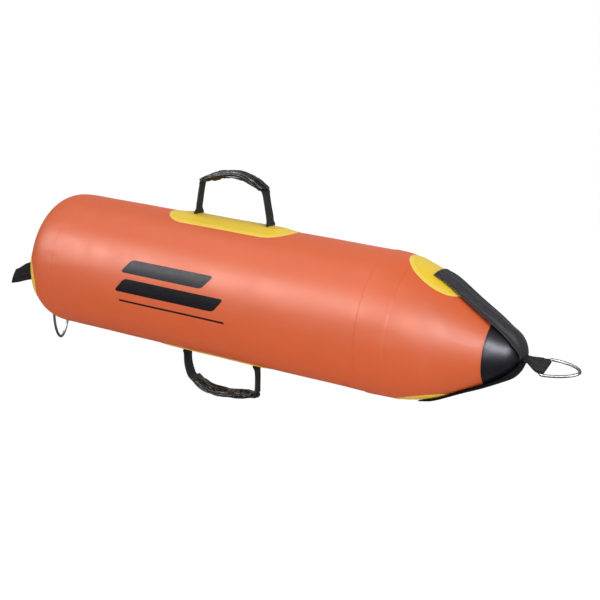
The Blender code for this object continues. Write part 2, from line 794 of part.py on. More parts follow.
def handle_rows(foot_span, between=2, end_turns=(35, 62, 82)):
    """(along, [across...]) rows of a handle patch, with lines along its slots' edges."""
    straight = HANDLE_PATCH_LENGTH / 2 - HANDLE_PATCH_WIDTH / 2
    lines = inner_lines(foot_span, between)
    lines += [straight, foot_span / 2 + ANCHOR_OVERHANG + GAP]
    lines += [straight + HANDLE_PATCH_WIDTH / 2 * math.sin(math.radians(turn)) for turn in end_turns]
    rows = []
    for along in mirrored(separate(lines, SLOT_GAP)):
        past = max(abs(along) - straight, 0)
        half = math.sqrt(max((HANDLE_PATCH_WIDTH / 2) ** 2 - past ** 2, SLOT_GAP ** 2))
        inner = min(WEBBING_WIDTH / 2 + SLOT_GAP, 0.6 * half)
        middle = (inner + half) / 2
        rows.append((along, [-half, -middle, -inner, 0, inner, middle, half]))
    return rows


def handle_holes(foot_span):
    slot = WEBBING_THICKNESS / 2 + SLOT_GAP
    foot = foot_span / 2
    half = WEBBING_WIDTH / 2 + SLOT_GAP
    return [(-foot - slot, -foot + slot, half), (foot - slot, foot + slot, half)]


def patch_lift(along, across, foot_span):
    """The patch's underside over the hull, raised where the webbing's anchor lies under it."""
    end = foot_span / 2 + ANCHOR_OVERHANG + GAP
    past_end = max(abs(along) - end, 0) / (HANDLE_PATCH_LENGTH / 2 - end)
    inner = WEBBING_WIDTH / 2 + SLOT_GAP
    past_side = max(abs(across) - inner, 0) / (HANDLE_PATCH_WIDTH / 2 - inner)
    share = max(1 - past_end, 0) * max(1 - past_side, 0)
    return WRAP_GAP + (ANCHOR_THICKNESS + GAP) * share ** 1.5


def handle_patch(name, look, side):
    def place(u, v):
        lift = patch_lift(u, v, FOOT_SPAN)
        radius = on_outline(HANDLE_DISTANCE + u)[1]
        return hull_point(HANDLE_DISTANCE + u, math.pi * side - v / radius, lift)

    return sheet(name, look, handle_rows(FOOT_SPAN), place, PATCH_THICKNESS, handle_holes(FOOT_SPAN))


def anchor_rows(foot_span, between=2):
    lines = inner_lines(foot_span, between) + [foot_span / 2 + ANCHOR_OVERHANG]
    across = across_shares(WEBBING_WIDTH / 2, (-1, 0, 1))
    return [(along, across) for along in mirrored(lines)]


def handle_anchor(name, look, side):
    """The webbing's flat run under the patch, which holds both feet."""

    def place(u, v):
        radius = on_outline(HANDLE_DISTANCE + u)[1]
        return hull_point(HANDLE_DISTANCE + u, math.pi * side - v / radius, WRAP_GAP)

    return sheet(name, look, anchor_rows(FOOT_SPAN), place, ANCHOR_THICKNESS)


def on_tail(out, up, lift):
    """A point of a sheet laid over the tail's end, out towards +Y and up from its middle."""
    up -= TAIL_HANDLE_DROP
    distance = math.hypot(out, up)
    return hull_point(distance, math.atan2(-out, up), lift)


def tail_handle_patch(look):
    def place(u, v):
        return on_tail(-u, v, patch_lift(u, v, TAIL_FOOT_SPAN))

    rows = handle_rows(TAIL_FOOT_SPAN, 4, (22, 38, 52, 66, 82))
    holes = handle_holes(TAIL_FOOT_SPAN)
    return sheet("tail_handle_patch", look, rows, place, PATCH_THICKNESS, holes)


def tail_handle_anchor(look):
    def place(u, v):
        return on_tail(-u, v, WRAP_GAP)

    return sheet("tail_handle_anchor", look, anchor_rows(TAIL_FOOT_SPAN, 4), place, ANCHOR_THICKNESS)


def tail_handle_frame():
    """The middle of the line through the tail handle's feet, just clear of its anchor."""
    inner_face = TAIL_FOOT_SPAN / 2 - WEBBING_THICKNESS / 2
    face = on_tail(inner_face, WEBBING_WIDTH / 2, ANCHOR_TOP + GAP)
    return Vector((face.x, 0, on_tail(inner_face, 0, 0).z))


def tail_handle_webbing(look):
    """Webbing that leaves its slots straight out and then sags by its own weight."""
    heights = (TAIL_SHOULDER_REACH, TAIL_SHOULDER_REACH)
    path = handle_path(TAIL_FOOT_SPAN, TAIL_SHOULDERS, heights, TAIL_CROWN_REACH, 0)
    foot = tail_handle_frame()
    base = path[0].y
    leg = path[1]
    path = [path[0], path[0].lerp(leg, 0.25), path[0].lerp(leg, 0.6)] + path[1:]
    other = path[-2]
    path = path[:-1] + [path[-1].lerp(other, 0.6), path[-1].lerp(other, 0.25), path[-1]]
    points = []
    wide_ways = []
    for across, height in path:
        reach = height - base
        bent = max(reach - TAIL_SAG_START, 0)
        share = min(reach / (2 * TAIL_SAG_START), 1)
        sag = TAIL_SAG_ANGLE * share
        x = foot.x - min(reach, TAIL_SAG_START) - bent * math.cos(TAIL_SAG_ANGLE)
        z = foot.z - bent * math.sin(TAIL_SAG_ANGLE)
        points.append(Vector((x, across, z)))
        wide_ways.append(Vector((-math.sin(sag), 0, math.cos(sag))))
    made = ribbon("tail_handle_webbing", look, points, wide_ways, WEBBING_WIDTH, WEBBING_THICKNESS)
    put_on_axis(made, foot)
    return made


def tail_ring_distance():
    """Where the tail ring's bar lies, along the surface from the tail's middle."""
    for distance, _, radius, _ in OUTLINE:
        if radius >= TAIL_RING_RADIUS_OUT:
            return distance
    return SEAM_DISTANCE


def tail_ring_patch(look):
    centre = tail_ring_distance()
    rows = [(u, across_shares(half)) for u, half in round_rows(TAIL_RING_PATCH_RADIUS, 8)]

    def place(u, v):
        radius = on_outline(centre + u)[1]
        return hull_point(centre + u, math.pi - v / radius, WRAP_GAP)

    return sheet("tail_ring_patch", look, rows, place, PATCH_THICKNESS)


def tail_bar_centre():
    return hull_point(tail_ring_distance(), math.pi, PATCH_TOP + GAP + WIRE_RADIUS)


def tail_ring_loop(look):
    """Webbing flat on its patch, with a tunnel over the ring's bar."""
    centre = tail_ring_distance()
    tunnel = WIRE_RADIUS + RUNNING_GAP + TAIL_LOOP_THICKNESS / 2
    flat = PATCH_TOP + GAP + TAIL_LOOP_THICKNESS / 2
    rise = WIRE_RADIUS + tunnel - TAIL_LOOP_THICKNESS / 2
    foot = 2.1 * tunnel
    points = []
    for u in spread(-TAIL_LOOP_HALF_LENGTH, TAIL_LOOP_HALF_LENGTH, TAIL_LOOP_STEPS):
        share = min(abs(u) / foot, 1)
        lift = flat + rise * math.cos(math.pi / 2 * share ** 1.6) ** 1.2 if share < 1 else flat
        points.append(hull_point(centre + u, math.pi, lift))
    wide = [Vector((0, 1, 0))] * len(points)
    return ribbon("tail_ring_loop", look, points, wide, TAIL_LOOP_WIDTH, TAIL_LOOP_THICKNESS)


def valve_frame():
    """Z of this frame is the valve's axis, outwards on the far side of the hull."""
    x = TAIL_SEAM_X + VALVE_STATION
    return Matrix.Translation((x, 0, 0)) @ Matrix.Rotation(-math.pi / 2, 4, "X")


def turned(name, look, profile, segments=VALVE_SEGMENTS):
    """A piece spun about the valve's axis from (radius, height) points."""
    bm = bmesh.new()
    verts = [bm.verts.new((radius, 0, height)) for radius, height in profile]
    edges = [bm.edges.new(pair) for pair in zip(verts, verts[1:])]
    if profile[0][0] or profile[-1][0]:
        edges.append(bm.edges.new((verts[-1], verts[0])))
    bmesh.ops.spin(
        bm,
        geom=verts + edges,
        cent=(0, 0, 0),
        axis=(0, 0, 1),
        angle=2 * math.pi,
        steps=segments,
        use_merge=True,
        use_duplicate=False,
    )
    bmesh.ops.remove_doubles(bm, verts=bm.verts, dist=GAP / 10)
    bmesh.ops.transform(bm, matrix=valve_frame(), verts=bm.verts)
    return finish(name, bm, look)


def valve_patch(look):
    """A round patch with a hole for the collar, bent to the hull's side."""
    radii = spread(COLLAR_RADIUS + GAP, VALVE_PATCH_RADIUS, 2)
    rings = []
    for lift in (WRAP_GAP, PATCH_TOP):
        layer = []
        for radius in radii:
            ring = []
            for i in range(VALVE_SEGMENTS):
                turn = 2 * math.pi * i / VALVE_SEGMENTS
                along = VALVE_DISTANCE + radius * math.cos(turn)
                around = radius * math.sin(turn) / on_outline(along)[1]
                ring.append(hull_point(along, around - math.pi / 2, lift))
            layer.append(ring)
        rings += layer if lift == WRAP_GAP else layer[::-1]
    bm = bmesh.new()
    loft(bm, rings, wrap=True)
    return finish("valve_patch", bm, look)


def valve_levels():
    """Heights along the valve's axis, from the hull's axis outwards."""
    skin_face = on_outline(VALVE_DISTANCE)[1]
    rim = skin_face + PATCH_TOP + GAP
    gasket = rim + COLLAR_RIM_HEIGHT + GAP
    flange = gasket + GASKET_THICKNESS + GAP
    neck = flange + NECK_FLANGE_THICKNESS
    top = neck + NECK_HEIGHT
    inner = skin_face - COLLAR_FLANGE_DEPTH - COLLAR_FLANGE_THICKNESS
    return rim, gasket, flange, neck, top, inner


def valve_collar(look):
    rim, gasket, _, _, _, inner = valve_levels()
    top = gasket - GAP
    profile = [
        (COLLAR_BORE_RADIUS, top),
        (COLLAR_BORE_RADIUS, inner),
        (COLLAR_FLANGE_RADIUS, inner),
        (COLLAR_FLANGE_RADIUS, inner + COLLAR_FLANGE_THICKNESS),
        (COLLAR_RADIUS, inner + COLLAR_FLANGE_THICKNESS),
        (COLLAR_RADIUS, rim),
        (COLLAR_RIM_RADIUS, rim),
        (COLLAR_RIM_RADIUS, top),
    ]
    return turned("valve_collar", look, profile)


def valve_gasket(look):
    gasket = valve_levels()[1]
    bore = COLLAR_BORE_RADIUS
    top = gasket + GASKET_THICKNESS
    return turned(
        "valve_gasket",
        look,
        [(bore, gasket), (GASKET_RADIUS, gasket), (GASKET_RADIUS, top), (bore, top)],
    )


def joined(base, others):
    """The base united with other closed pieces, which stay as hidden guides."""
    for other in others:
        other.hide_render = True
        other.display_type = "WIRE"
        union = base.modifiers.new("join " + other.name, "BOOLEAN")
        union.operation = "UNION"
        union.object = other
    return base


def valve_neck(look):
    """The screwed insert: flange, cap neck, and a spider with the flap's pin below."""
    _, _, flange, neck, top, inner = valve_levels()
    body = COLLAR_BORE_RADIUS - GAP
    profile = [
        (NECK_BORE_RADIUS, top),
        (NECK_BORE_RADIUS, inner),
        (body, inner),
        (body, flange),
        (NECK_FLANGE_RADIUS, flange),
        (NECK_FLANGE_RADIUS, neck),
        (NECK_RADIUS, neck),
        (NECK_RADIUS, top),
    ]
    made = turned("valve_neck", look, profile)
    reach = NECK_BORE_RADIUS + COLLAR_BORE_RADIUS
    parts = []
    for i in range(2):
        bar = bmesh.new()
        bmesh.ops.create_cube(bar, size=1)
        size = Matrix.Diagonal((reach, SPIDER_BAR_WIDTH, SPIDER_BAR_THICKNESS, 1))
        lifted = Matrix.Translation((0, 0, inner + SPIDER_BAR_THICKNESS / 2))
        place = valve_frame() @ lifted @ Matrix.Rotation(math.pi / 2 * i, 4, "Z") @ size
        bmesh.ops.transform(bar, matrix=place, verts=bar.verts)
        parts.append(finish(f"spider_bar_{i}", bar, look))
    pin = bmesh.new()
    length = FLAP_PIN_LENGTH + SPIDER_BAR_THICKNESS
    bmesh.ops.create_cone(
        pin,
        cap_ends=True,
        segments=12,
        radius1=FLAP_PIN_RADIUS,
        radius2=FLAP_PIN_RADIUS,
        depth=length,
        matrix=valve_frame() @ Matrix.Translation((0, 0, inner + SPIDER_BAR_THICKNESS - length / 2)),
    )
    parts.append(finish("flap_pin", pin, look))
    return joined(made, parts)


def valve_flap(look):
    """The non-return flap, a soft disc on its pin against the neck's inner end."""
    face = valve_levels()[5] - GAP
    back = face - FLAP_THICKNESS
    hole = FLAP_PIN_RADIUS + GAP
    return turned("valve_flap", look, [(hole, back), (FLAP_RADIUS, back), (FLAP_RADIUS, face), (hole, face)])


def cap_levels():
    """The cap's lower edge, the underside of its top, and its top face."""
    _, _, _, neck, top, _ = valve_levels()
    skirt = neck + CAP_SKIRT_LIFT
    under = top + GAP + CAP_SEAL_THICKNESS + GAP
    return skirt, under, under + CAP_TOP_THICKNESS


def valve_cap(look):
    """The screw cap, its skirt ribbed for the fingers."""
    skirt, under, top = cap_levels()
    inside = CAP_SKIRT_RADIUS - CAP_WALL
    edge = CAP_EDGE_RADIUS
    profile = [
        (0, under),
        (inside, under),
        (inside, skirt),
        (CAP_SKIRT_RADIUS, skirt),
        (CAP_SKIRT_RADIUS, top - edge),
        (CAP_SKIRT_RADIUS - edge, top),
        (0, top),
    ]
    made = turned("valve_cap", look, profile, segments=48)
    to_valve = valve_frame().inverted()
    for vert in made.data.vertices:
        local = to_valve @ vert.co
        turn = math.atan2(local.y, local.x)
        rib = round(turn / (2 * math.pi) * 48) % 2
        if rib and math.hypot(local.x, local.y) > CAP_SKIRT_RADIUS - CAP_RIB_DEPTH / 2:
            share = 1 - CAP_RIB_DEPTH / CAP_SKIRT_RADIUS
            local.x *= share
            local.y *= share
            vert.co = valve_frame() @ local
    put_on_axis(made, valve_frame() @ Vector((0, 0, skirt)))
    return made


def valve_cap_seal(look):
    under = cap_levels()[1] - GAP
    base = under - CAP_SEAL_THICKNESS
    outer = CAP_SKIRT_RADIUS - CAP_WALL - GAP
    inner = outer - CAP_SEAL_WIDTH
    made = turned("valve_cap_seal", look, [(inner, base), (outer, base), (outer, under), (inner, under)])
    put_on_axis(made, valve_frame() @ Vector((0, 0, cap_levels()[0])))
    return made


def valve_tether(look):
    """A strap from a ring round the collar's rim to a ring under the cap."""
    rim, _, _, neck, _, _ = valve_levels()
    low = rim + TETHER_THICKNESS / 2
    high = neck + GAP
    ring_in = COLLAR_RIM_RADIUS + GAP
    ring_out = ring_in + TETHER_RING_WIDTH
    cap_in = NECK_RADIUS + GAP
    cap_out = cap_in + TETHER_RING_WIDTH
    base_profile = [
        (ring_in, low),
        (ring_out, low),
        (ring_out, low + TETHER_THICKNESS),
        (ring_in, low + TETHER_THICKNESS),
    ]
    cap_profile = [
        (cap_in, high),
        (cap_out, high),
        (cap_out, high + TETHER_THICKNESS),
        (cap_in, high + TETHER_THICKNESS),
    ]
    made = turned("valve_tether", look, base_profile)
    cap_ring = turned("tether_cap_ring", look, cap_profile)
    middle = (ring_in + ring_out) / 2
    path = [
        Vector((cap_out - TETHER_SINK, 0, high + TETHER_THICKNESS / 2)),
        Vector((middle, 0, high + TETHER_THICKNESS / 2)),
        Vector((middle, 0, low + TETHER_THICKNESS - TETHER_SINK)),
    ]
    path = fillet(path, 1, TETHER_THICKNESS)
    points = [valve_frame() @ point for point in path]
    wide = [(valve_frame().to_3x3() @ Vector((0, 1, 0)))] * len(points)
    strap = ribbon("tether_strap", look, points, wide, TETHER_STRAP_WIDTH, TETHER_THICKNESS)
    joined(made, [cap_ring, strap])
    return made


def build():
    for made in list(bpy.data.objects):
        bpy.data.objects.remove(made)
    orange = material("orange coated fabric", ORANGE, 0.42)
    yellow = material("yellow coated fabric", YELLOW, 0.40)
    cap_black = material("black coated fabric", BLACK_FABRIC, 0.30)
    webbing = material("black webbing", WEBBING_BLACK, 0.75)
    grip_black = material("black grip fabric", BLACK_FABRIC, 0.55)
    steel = material("stainless steel", STEEL, 0.22, 1.0)
    plastic = material("grey valve plastic", VALVE_GREY, 0.45)
    rubber = material("black rubber", SEAL_BLACK, 0.60)

    tail_panel(orange)
    tube_panel(orange)
    nose_cone_panel(orange)
    band("nose_seam_tape", orange, SEAM_TAPE_START, SEAM_TAPE_END, WRAP_GAP)
    tail_seam_tape(orange)
    long_seam_tape(orange)
    nose_cap(cap_black)
    nose_patch("top_nose_patch", yellow, 0)
    nose_patch("bottom_nose_patch", yellow, 1)
    nose_strap("top_nose_strap", webbing, 0, TIP_DISTANCE)
    nose_strap("bottom_nose_strap", webbing, 1, TIP_DISTANCE - 2 * (LOOP_HALF_THICKNESS + GAP))
    nose_ring_loop(webbing)
    ahead, bar_way, up = nose_loop_ways(LOOP_TWIST)
    ring_way = ahead * math.cos(NOSE_RING_RISE) + up * math.sin(NOSE_RING_RISE)
    tow_ring("nose_ring", steel, nose_loop_frame()[1], ring_way, bar_way)

    top = (TOP_SHOULDERS, TOP_SHOULDER_HEIGHTS, TOP_CROWN_HEIGHT, TOP_CROWN_SHIFT_SHARE)
    bottom = (BOTTOM_SHOULDERS, BOTTOM_SHOULDER_HEIGHTS, BOTTOM_CROWN_HEIGHT, BOTTOM_CROWN_SHIFT_SHARE)
    for side, (place, shape) in enumerate((("top", top), ("bottom", bottom))):
        handle_anchor(f"{place}_handle_anchor", webbing, side)
        handle_patch(f"{place}_handle_patch", yellow, side)
        handle_webbing(f"{place}_handle_webbing", webbing, side, shape)
        handle_grip(f"{place}_handle_grip", grip_black, side, shape)

    tail_handle_anchor(webbing)
    tail_handle_patch(yellow)
    tail_handle_webbing(webbing)
    tail_ring_patch(yellow)
    tail_ring_loop(webbing)
    lean = Vector((math.sin(TAIL_RING_LEAN), 0, -math.cos(TAIL_RING_LEAN)))
    tow_ring("tail_ring", steel, tail_bar_centre(), lean, Vector((0, 1, 0)))

    valve_patch(orange)
    valve_collar(plastic)
    valve_gasket(rubber)
    valve_neck(plastic)
    valve_flap(rubber)
    valve_cap(plastic)
    valve_cap_seal(rubber)
    valve_tether(rubber)


build()
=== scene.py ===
"""The looks of an inflatable torpedo float with webbing handles, steel tow rings and a screw valve.

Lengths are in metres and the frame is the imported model's: the nose points to +X and +Z
is up. Cloth is cut flat and laid on the hull's outline, which is measured along its
surface from the tail's middle. Angles round the hull turn from the top towards -Y.
"""

import bisect
import math

import bpy
from mathutils import Matrix, Vector, noise


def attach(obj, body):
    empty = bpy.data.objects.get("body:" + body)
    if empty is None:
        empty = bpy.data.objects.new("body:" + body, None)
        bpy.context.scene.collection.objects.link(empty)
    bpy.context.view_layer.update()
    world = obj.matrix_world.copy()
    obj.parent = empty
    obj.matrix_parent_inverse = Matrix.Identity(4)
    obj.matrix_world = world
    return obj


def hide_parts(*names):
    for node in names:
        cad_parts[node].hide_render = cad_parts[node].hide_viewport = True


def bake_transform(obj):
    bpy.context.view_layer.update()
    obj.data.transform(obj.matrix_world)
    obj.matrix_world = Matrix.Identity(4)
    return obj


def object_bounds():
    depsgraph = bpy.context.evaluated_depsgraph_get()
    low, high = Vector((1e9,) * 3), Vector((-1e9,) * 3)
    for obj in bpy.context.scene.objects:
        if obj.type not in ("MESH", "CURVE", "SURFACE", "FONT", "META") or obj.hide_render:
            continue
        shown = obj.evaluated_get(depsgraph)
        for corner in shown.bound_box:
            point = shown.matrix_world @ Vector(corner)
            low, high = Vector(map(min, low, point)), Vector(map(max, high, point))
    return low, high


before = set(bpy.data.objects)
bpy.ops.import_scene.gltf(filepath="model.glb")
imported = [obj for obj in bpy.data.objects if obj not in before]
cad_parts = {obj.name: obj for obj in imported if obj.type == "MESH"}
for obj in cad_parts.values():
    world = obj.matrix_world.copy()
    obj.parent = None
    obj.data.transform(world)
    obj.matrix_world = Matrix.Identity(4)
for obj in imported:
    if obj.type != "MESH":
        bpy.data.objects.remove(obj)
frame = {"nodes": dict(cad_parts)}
cad_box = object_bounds()

# Hull outline
HULL_RADIUS = 0.100
TUBE_LENGTH = 0.503
TAIL_DOME_DEPTH = 0.058
TAIL_ROUNDNESS = 3.6
NOSE_HALF_ANGLE = math.radians(28.9)
NOSE_SHOULDER_RADIUS = 0.206
NOSE_TIP_RADIUS = 0.035
NOSE_DROOP = 0.0092
DROOP_TURN = math.radians(115)
DROOP_POWER = 1.08
OUTLINE_STEPS = 60
BISECTIONS = 22
SEAM_PAST_SHOULDER = 0.016
SHOULDER_TANGENT = NOSE_SHOULDER_RADIUS * math.tan(NOSE_HALF_ANGLE / 2)
CONE_APEX = SHOULDER_TANGENT + HULL_RADIUS / math.tan(NOSE_HALF_ANGLE)
NOSE_LENGTH = CONE_APEX - NOSE_TIP_RADIUS / math.sin(NOSE_HALF_ANGLE) + NOSE_TIP_RADIUS
HULL_LENGTH = TAIL_DOME_DEPTH + TUBE_LENGTH + NOSE_LENGTH
TAIL_SEAM_X = TAIL_DOME_DEPTH - HULL_LENGTH / 2
NOSE_START_X = TAIL_SEAM_X + TUBE_LENGTH
TIP_X = HULL_LENGTH / 2
NOSE_SEAM_X = NOSE_START_X + SEAM_PAST_SHOULDER

# How the inflated cloth departs from its outline
WAVE_LENGTH = 0.085
WAVE_HEIGHT = 0.0006
PUCKER_LENGTH = 0.013
PUCKER_HEIGHT = 0.0007
PUCKER_REACH = 0.011
PUCKER_SHIFT = 90

# Cloth and welds
SKIN = 0.0008
SEAM_STEP = 0.0006
SEAM_LAP = 0.012
TUBE_START_GAP = 0.0004
TUBE_END_GAP = 0.0005
CONE_OPENING = 0.004
SEAM_TAPE_WIDTH = 0.042
LONG_TAPE_WIDTH = 0.030
LONG_TAPE_ANGLE = math.radians(-140)
LONG_TAPE_START_GAP = 0.0055
LONG_TAPE_END_GAP = 0.004
TAPE_THICKNESS = 0.0006
TAPE_LIFT = 0.0001
TAPE_RAMP = 0.006
EDGE_ROLL = 0.0012
PATCH_LIFT = 0.0003
PATCH_THICKNESS = 0.0007
PATCH_RIM = 0.0045
PATCH_RIM_DEPTH = 0.0004
CAP_LENGTH = 0.043
CAP_THICKNESS = 0.0012
CAP_EDGE_SHARE = 0.6

# Webbing, straps and rings
WEBBING_WIDTH = 0.025
WEBBING_THICKNESS = 0.0022
STRAP_WIDTH = 0.050
STRAP_THICKNESS = 0.0016
STRAP_GAP = 0.0002
STRAP_ENDS_FROM_TIP = (0.0006, 0.0052)
STRAP_START_BEHIND_PATCH_CENTRE = 0.002
STRAP_TAPER = 0.026
STRAP_TAPER_SHARE = 0.30
STRAP_RAMP = 0.045
STRAP_RIB = 0.0004
STRAP_RIB_PITCH = 0.0125
STRAP_CURL = 0.0018
STRAP_CURL_WIDTH = 0.005
STRAP_CURL_START = 0.02
# Depth of the band of painted shade along the nose straps' edges
STRAP_EDGE_SHADE = 0.0028
STRAP_HEM = 0.003
STRAP_TACK_LENGTH = 0.028
STRAP_SEAM_INSET = 0.004
STRAP_SEAM_SHORT = 0.008
EDGE_STEPS = 5
EDGE_FULLNESS = 0.55
SEWN_SHARE = 0.84
WIRE_RADIUS = 0.0020
RUNNING_GAP = 0.0003
RING_HALF_WIDTH = 0.0185
RING_DEPTH = 0.048
RING_CORNER_RADIUS = 0.004
RING_FULLNESS = 1.8
RING_SIDE_STEPS = 26
RING_CORNER_STEPS = 6
RING_WELD_RADII = (1.03, 1.09, 1.03)
LOOP_WIDTH = 0.0290
LOOP_ROOT_WIDTH = 0.0125
LOOP_LENGTH = 0.024
LOOP_WALL = 0.0019
LOOP_ROOT_TUCK = 0.0065
LOOP_PLEAT = 0.0011
LOOP_RIPPLE = 0.0003
LOOP_WRAP = math.radians(128)
LOOP_SEAMS = (0.0185, 0.0205)
LOOP_TWIST = math.radians(23)
LOOP_SAG = math.radians(12)
NOSE_RING_RISE = math.radians(18)
LOOP_ROOT = Vector((0.384306, 0, -0.010738))
STITCH_LENGTH = 0.0026
STITCH_PITCH = 0.0037
STITCH_THICKNESS = 0.0007
STITCH_SINK = 0.0001

# Patches and handles, in their places along the hull
NOSE_PATCH_RADIUS = 0.046
NOSE_PATCH_SHARE = 0.645
HANDLE_PATCH_LENGTH = 0.206
HANDLE_PATCH_WIDTH = 0.080
HANDLE_STATION = 0.249
FOOT_SPAN = 0.120
FOOT_RISE = 0.004
FOOT_BASE = 0.0022
FOOT_FLARE = 1.3
SHOULDER_BEND = 0.0025
ANCHOR_HEIGHT = 0.0017
ANCHOR_OVERHANG = 0.018
SLOT_LIP = 0.0007
SEWN_BOX = (0.0045, 0.0155)
SEWN_BOX_SETBACK = 0.003
LEG_LENGTH = 0.054
TOP_ARCH = ((-0.0565, 0.0470), (0.050, 0.051), 0.0682, 0.05)
BOTTOM_ARCH = ((-0.0480, 0.0640), (0.0405, 0.0475), 0.058, -0.10)
TOP_LEG_TURNS = (math.radians(12), math.radians(-7))
BOTTOM_LEG_TURNS = (math.radians(-4.5), math.radians(12))
BOTTOM_LEG_BOWS = (0.0035, 0)
GRIP_WIDTH = 0.0295
GRIP_THICKNESS = 0.0115
GRIP_SETBACK = 0.0042
GRIP_ROUNDNESS = 2.25
GRIP_BORE = (WEBBING_WIDTH + 0.0016, WEBBING_THICKNESS + 0.0018)
GRIP_BORE_ROUNDNESS = 6
GRIP_GIRTH = 0.066
GRIP_SEAM_TURN = math.radians(225)
GRIP_LONG_FOLDS = 8
GRIP_ROWS = 260
GRIP_TUCK_ROWS = 10
GRIP_COLUMNS = 88
TAIL_HANDLE_DROP = 0.019
TAIL_FOOT_SPAN = 0.112
TAIL_FOOT_BASE = 0.0029
TAIL_ARCH = ((-0.050, 0.050), (0.057, 0.057), 0.067, 0)
TAIL_FOOT_X = -0.379791
TAIL_FOOT_SINK = 0.0012
TAIL_SAG_ANGLE = math.radians(24)
TAIL_SAG_START = 0.006
TAIL_CROWN_TURN = math.radians(42)
TAIL_RING_RADIUS_OUT = 0.0835
TAIL_RING_PATCH_RADIUS = 0.022
TAIL_RING_LEAN = math.radians(3)
TAIL_LOOP_WIDTH = 0.030
TAIL_LOOP_THICKNESS = 0.0018
TAIL_LOOP_HALF_LENGTH = 0.017
TAIL_LOOP_REST = 0.0010
TAIL_LOOP_SEAMS = (0.0145, 0.0105)
TAIL_LOOP_SEAM_INSET = 0.002
TAIL_BAR_BASE = 0.0016

# Valve: radii from its own axis, heights from the hull's axis, profiles in (radius, height)
VALVE_STATION = 0.132
VALVE_PATCH_RADII = (0.0203, 0.036)
COLLAR_PROFILE = (
    (0.0150, 0.1049),
    (0.0150, 0.0910),
    (0.0280, 0.0910),
    (0.0280, 0.0935),
    (0.0200, 0.0935),
    (0.0200, 0.1004),
    (0.0235, 0.1012),
    (0.0235, 0.1049),
)
COLLAR_ROUND = 0.0009
CAP_RADIUS = 0.0175
CAP_TOP_HEIGHT = 0.1217
CAP_PROFILE = (
    (0, 0.1193),
    (0.0149, 0.1193),
    (0.0149, 0.1101),
    (CAP_RADIUS, 0.1101),
    (CAP_RADIUS, CAP_TOP_HEIGHT),
    (0.0130, CAP_TOP_HEIGHT),
    (0.0122, 0.1204),
    (0, 0.1204),
)
CAP_ROUND = 0.0008
CAP_RIBS = 40
CAP_RIB_DEPTH = 0.0009
CAP_RIB_INSET = 0.0007
CAP_BAR = (0.0236, 0.0042, 0.0019)
CAP_BAR_DROP = 0.0011
TETHER_RING = (0.0238, 0.0268, 0.1024)
TETHER_EYE = (0.0138, 0.0168, 0.1085)
TETHER_THICKNESS = 0.0010
TETHER_WIDTH = 0.0070

# Print on the flank: start, end, degrees round the hull, height, slant
PRINTED_BARS = (
    (-0.188, -0.052, 74.5, 0.0205, 0.016),
    (-0.196, -0.030, 91.0, 0.0205, 0.016),
    (-0.196, -0.020, 104.5, 0.0028, 0.000),
)
INK_LIFT = 0.00004
INK_THICKNESS = 0.00012
INK_CORNER = 0.0045
INK_CORNER_SHARE = 0.22

# Colours
ORANGE = (0.79, 0.131, 0.030)
ORANGE_DEEP = (0.76, 0.120, 0.026)
YELLOW = (0.95, 0.65, 0.032)
YELLOW_DEEP = (0.92, 0.61, 0.024)
YELLOW_PALE = (0.95, 0.70, 0.10)
BLACK_COATING = (0.003, 0.003, 0.005)
BLACK_COATING_LIT = (0.005, 0.005, 0.008)
BLACK_THREAD = (0.003, 0.003, 0.004)
# Painted light: the lit thread tone on the webbing's rib crests
BLACK_THREAD_LIT = (0.013, 0.012, 0.015)
# Painted shade: the dark band along the nose straps' edges
EDGE_SHADE = (0.001, 0.001, 0.001)
GRIP_COATING = (0.002, 0.002, 0.002)
GRIP_COATING_LIT = (0.006, 0.006, 0.007)
INK = (0.004, 0.003, 0.005)
INK_LIT = (0.007, 0.006, 0.009)
STITCHES = (0.012, 0.012, 0.013)
STITCHES_LIT = (0.05, 0.05, 0.055)
STEEL = (0.28, 0.28, 0.29)
STEEL_DARK = (0.20, 0.20, 0.22)
STEEL_LIT = (0.36, 0.36, 0.36)
VALVE_GREY = (0.050, 0.050, 0.055)
VALVE_GREY_LIT = (0.070, 0.070, 0.076)
RUBBER = (0.012, 0.012, 0.012)
RUBBER_LIT = (0.024, 0.024, 0.024)

# Weaves
CLOTH_THREAD = 0.0011
GRIP_THREAD = 0.0009
RIB_PITCH = 0.0016
FINE_RIB_PITCH = 0.0009

# Camera and light
CAMERA_PLACE = (0.771463, -1.50133, 0.38771)
CAMERA_HEADING = math.radians(25.7752)
CAMERA_DIP = math.radians(12.9209)
CAMERA_ROLL = math.radians(5.6439)
LENS = 72
SENSOR = 36
LAMPS_AIM = (0.02, 0, 0)
DIFFUSE_LAMPS = (
    ("key lamp", (-0.25, -0.96, 0.03), 1.7, 1.7, 0.36, 3.6),
    ("nose lamp", (0.50, -0.86, 0.03), 1.9, 1.2, 0.36, 3.2),
    ("upper nose lamp", (0.62, -0.42, 0.66), 1.7, 1.0, 0.8, 6.5),
    ("top lamp", (-0.05, -0.15, 1.0), 1.5, 1.8, 1.0, 8.2),
    ("far side lamp", (-0.2, 0.85, 0.55), 2.0, 1.4, 1.2, 9),
)
SHEEN_LAMPS = (
    ("sheen lamp", (-0.10, -0.884, 0.461), 1.69, 2.2, 0.72, 40),
    ("tail sheen lamp", (-0.645, -0.668, 0.373), 2.17, 1.2, 0.72, 36),
    ("nose sheen lamp", (0.693, -0.640, 0.335), 1.92, 1.2, 0.66, 50),
    ("upper sheen lamp", (-0.424, -0.251, 0.870), 1.7, 1.5, 0.50, 8),
)
SURROUND_LEVEL = 0.38
SURROUND_BRIGHT_WAY = (-0.4238, 0.8777, 0.1)
FLOOR_SIZE = 14
FLOOR_DROP = 0.002
WHITE = (1, 1, 1, 1)


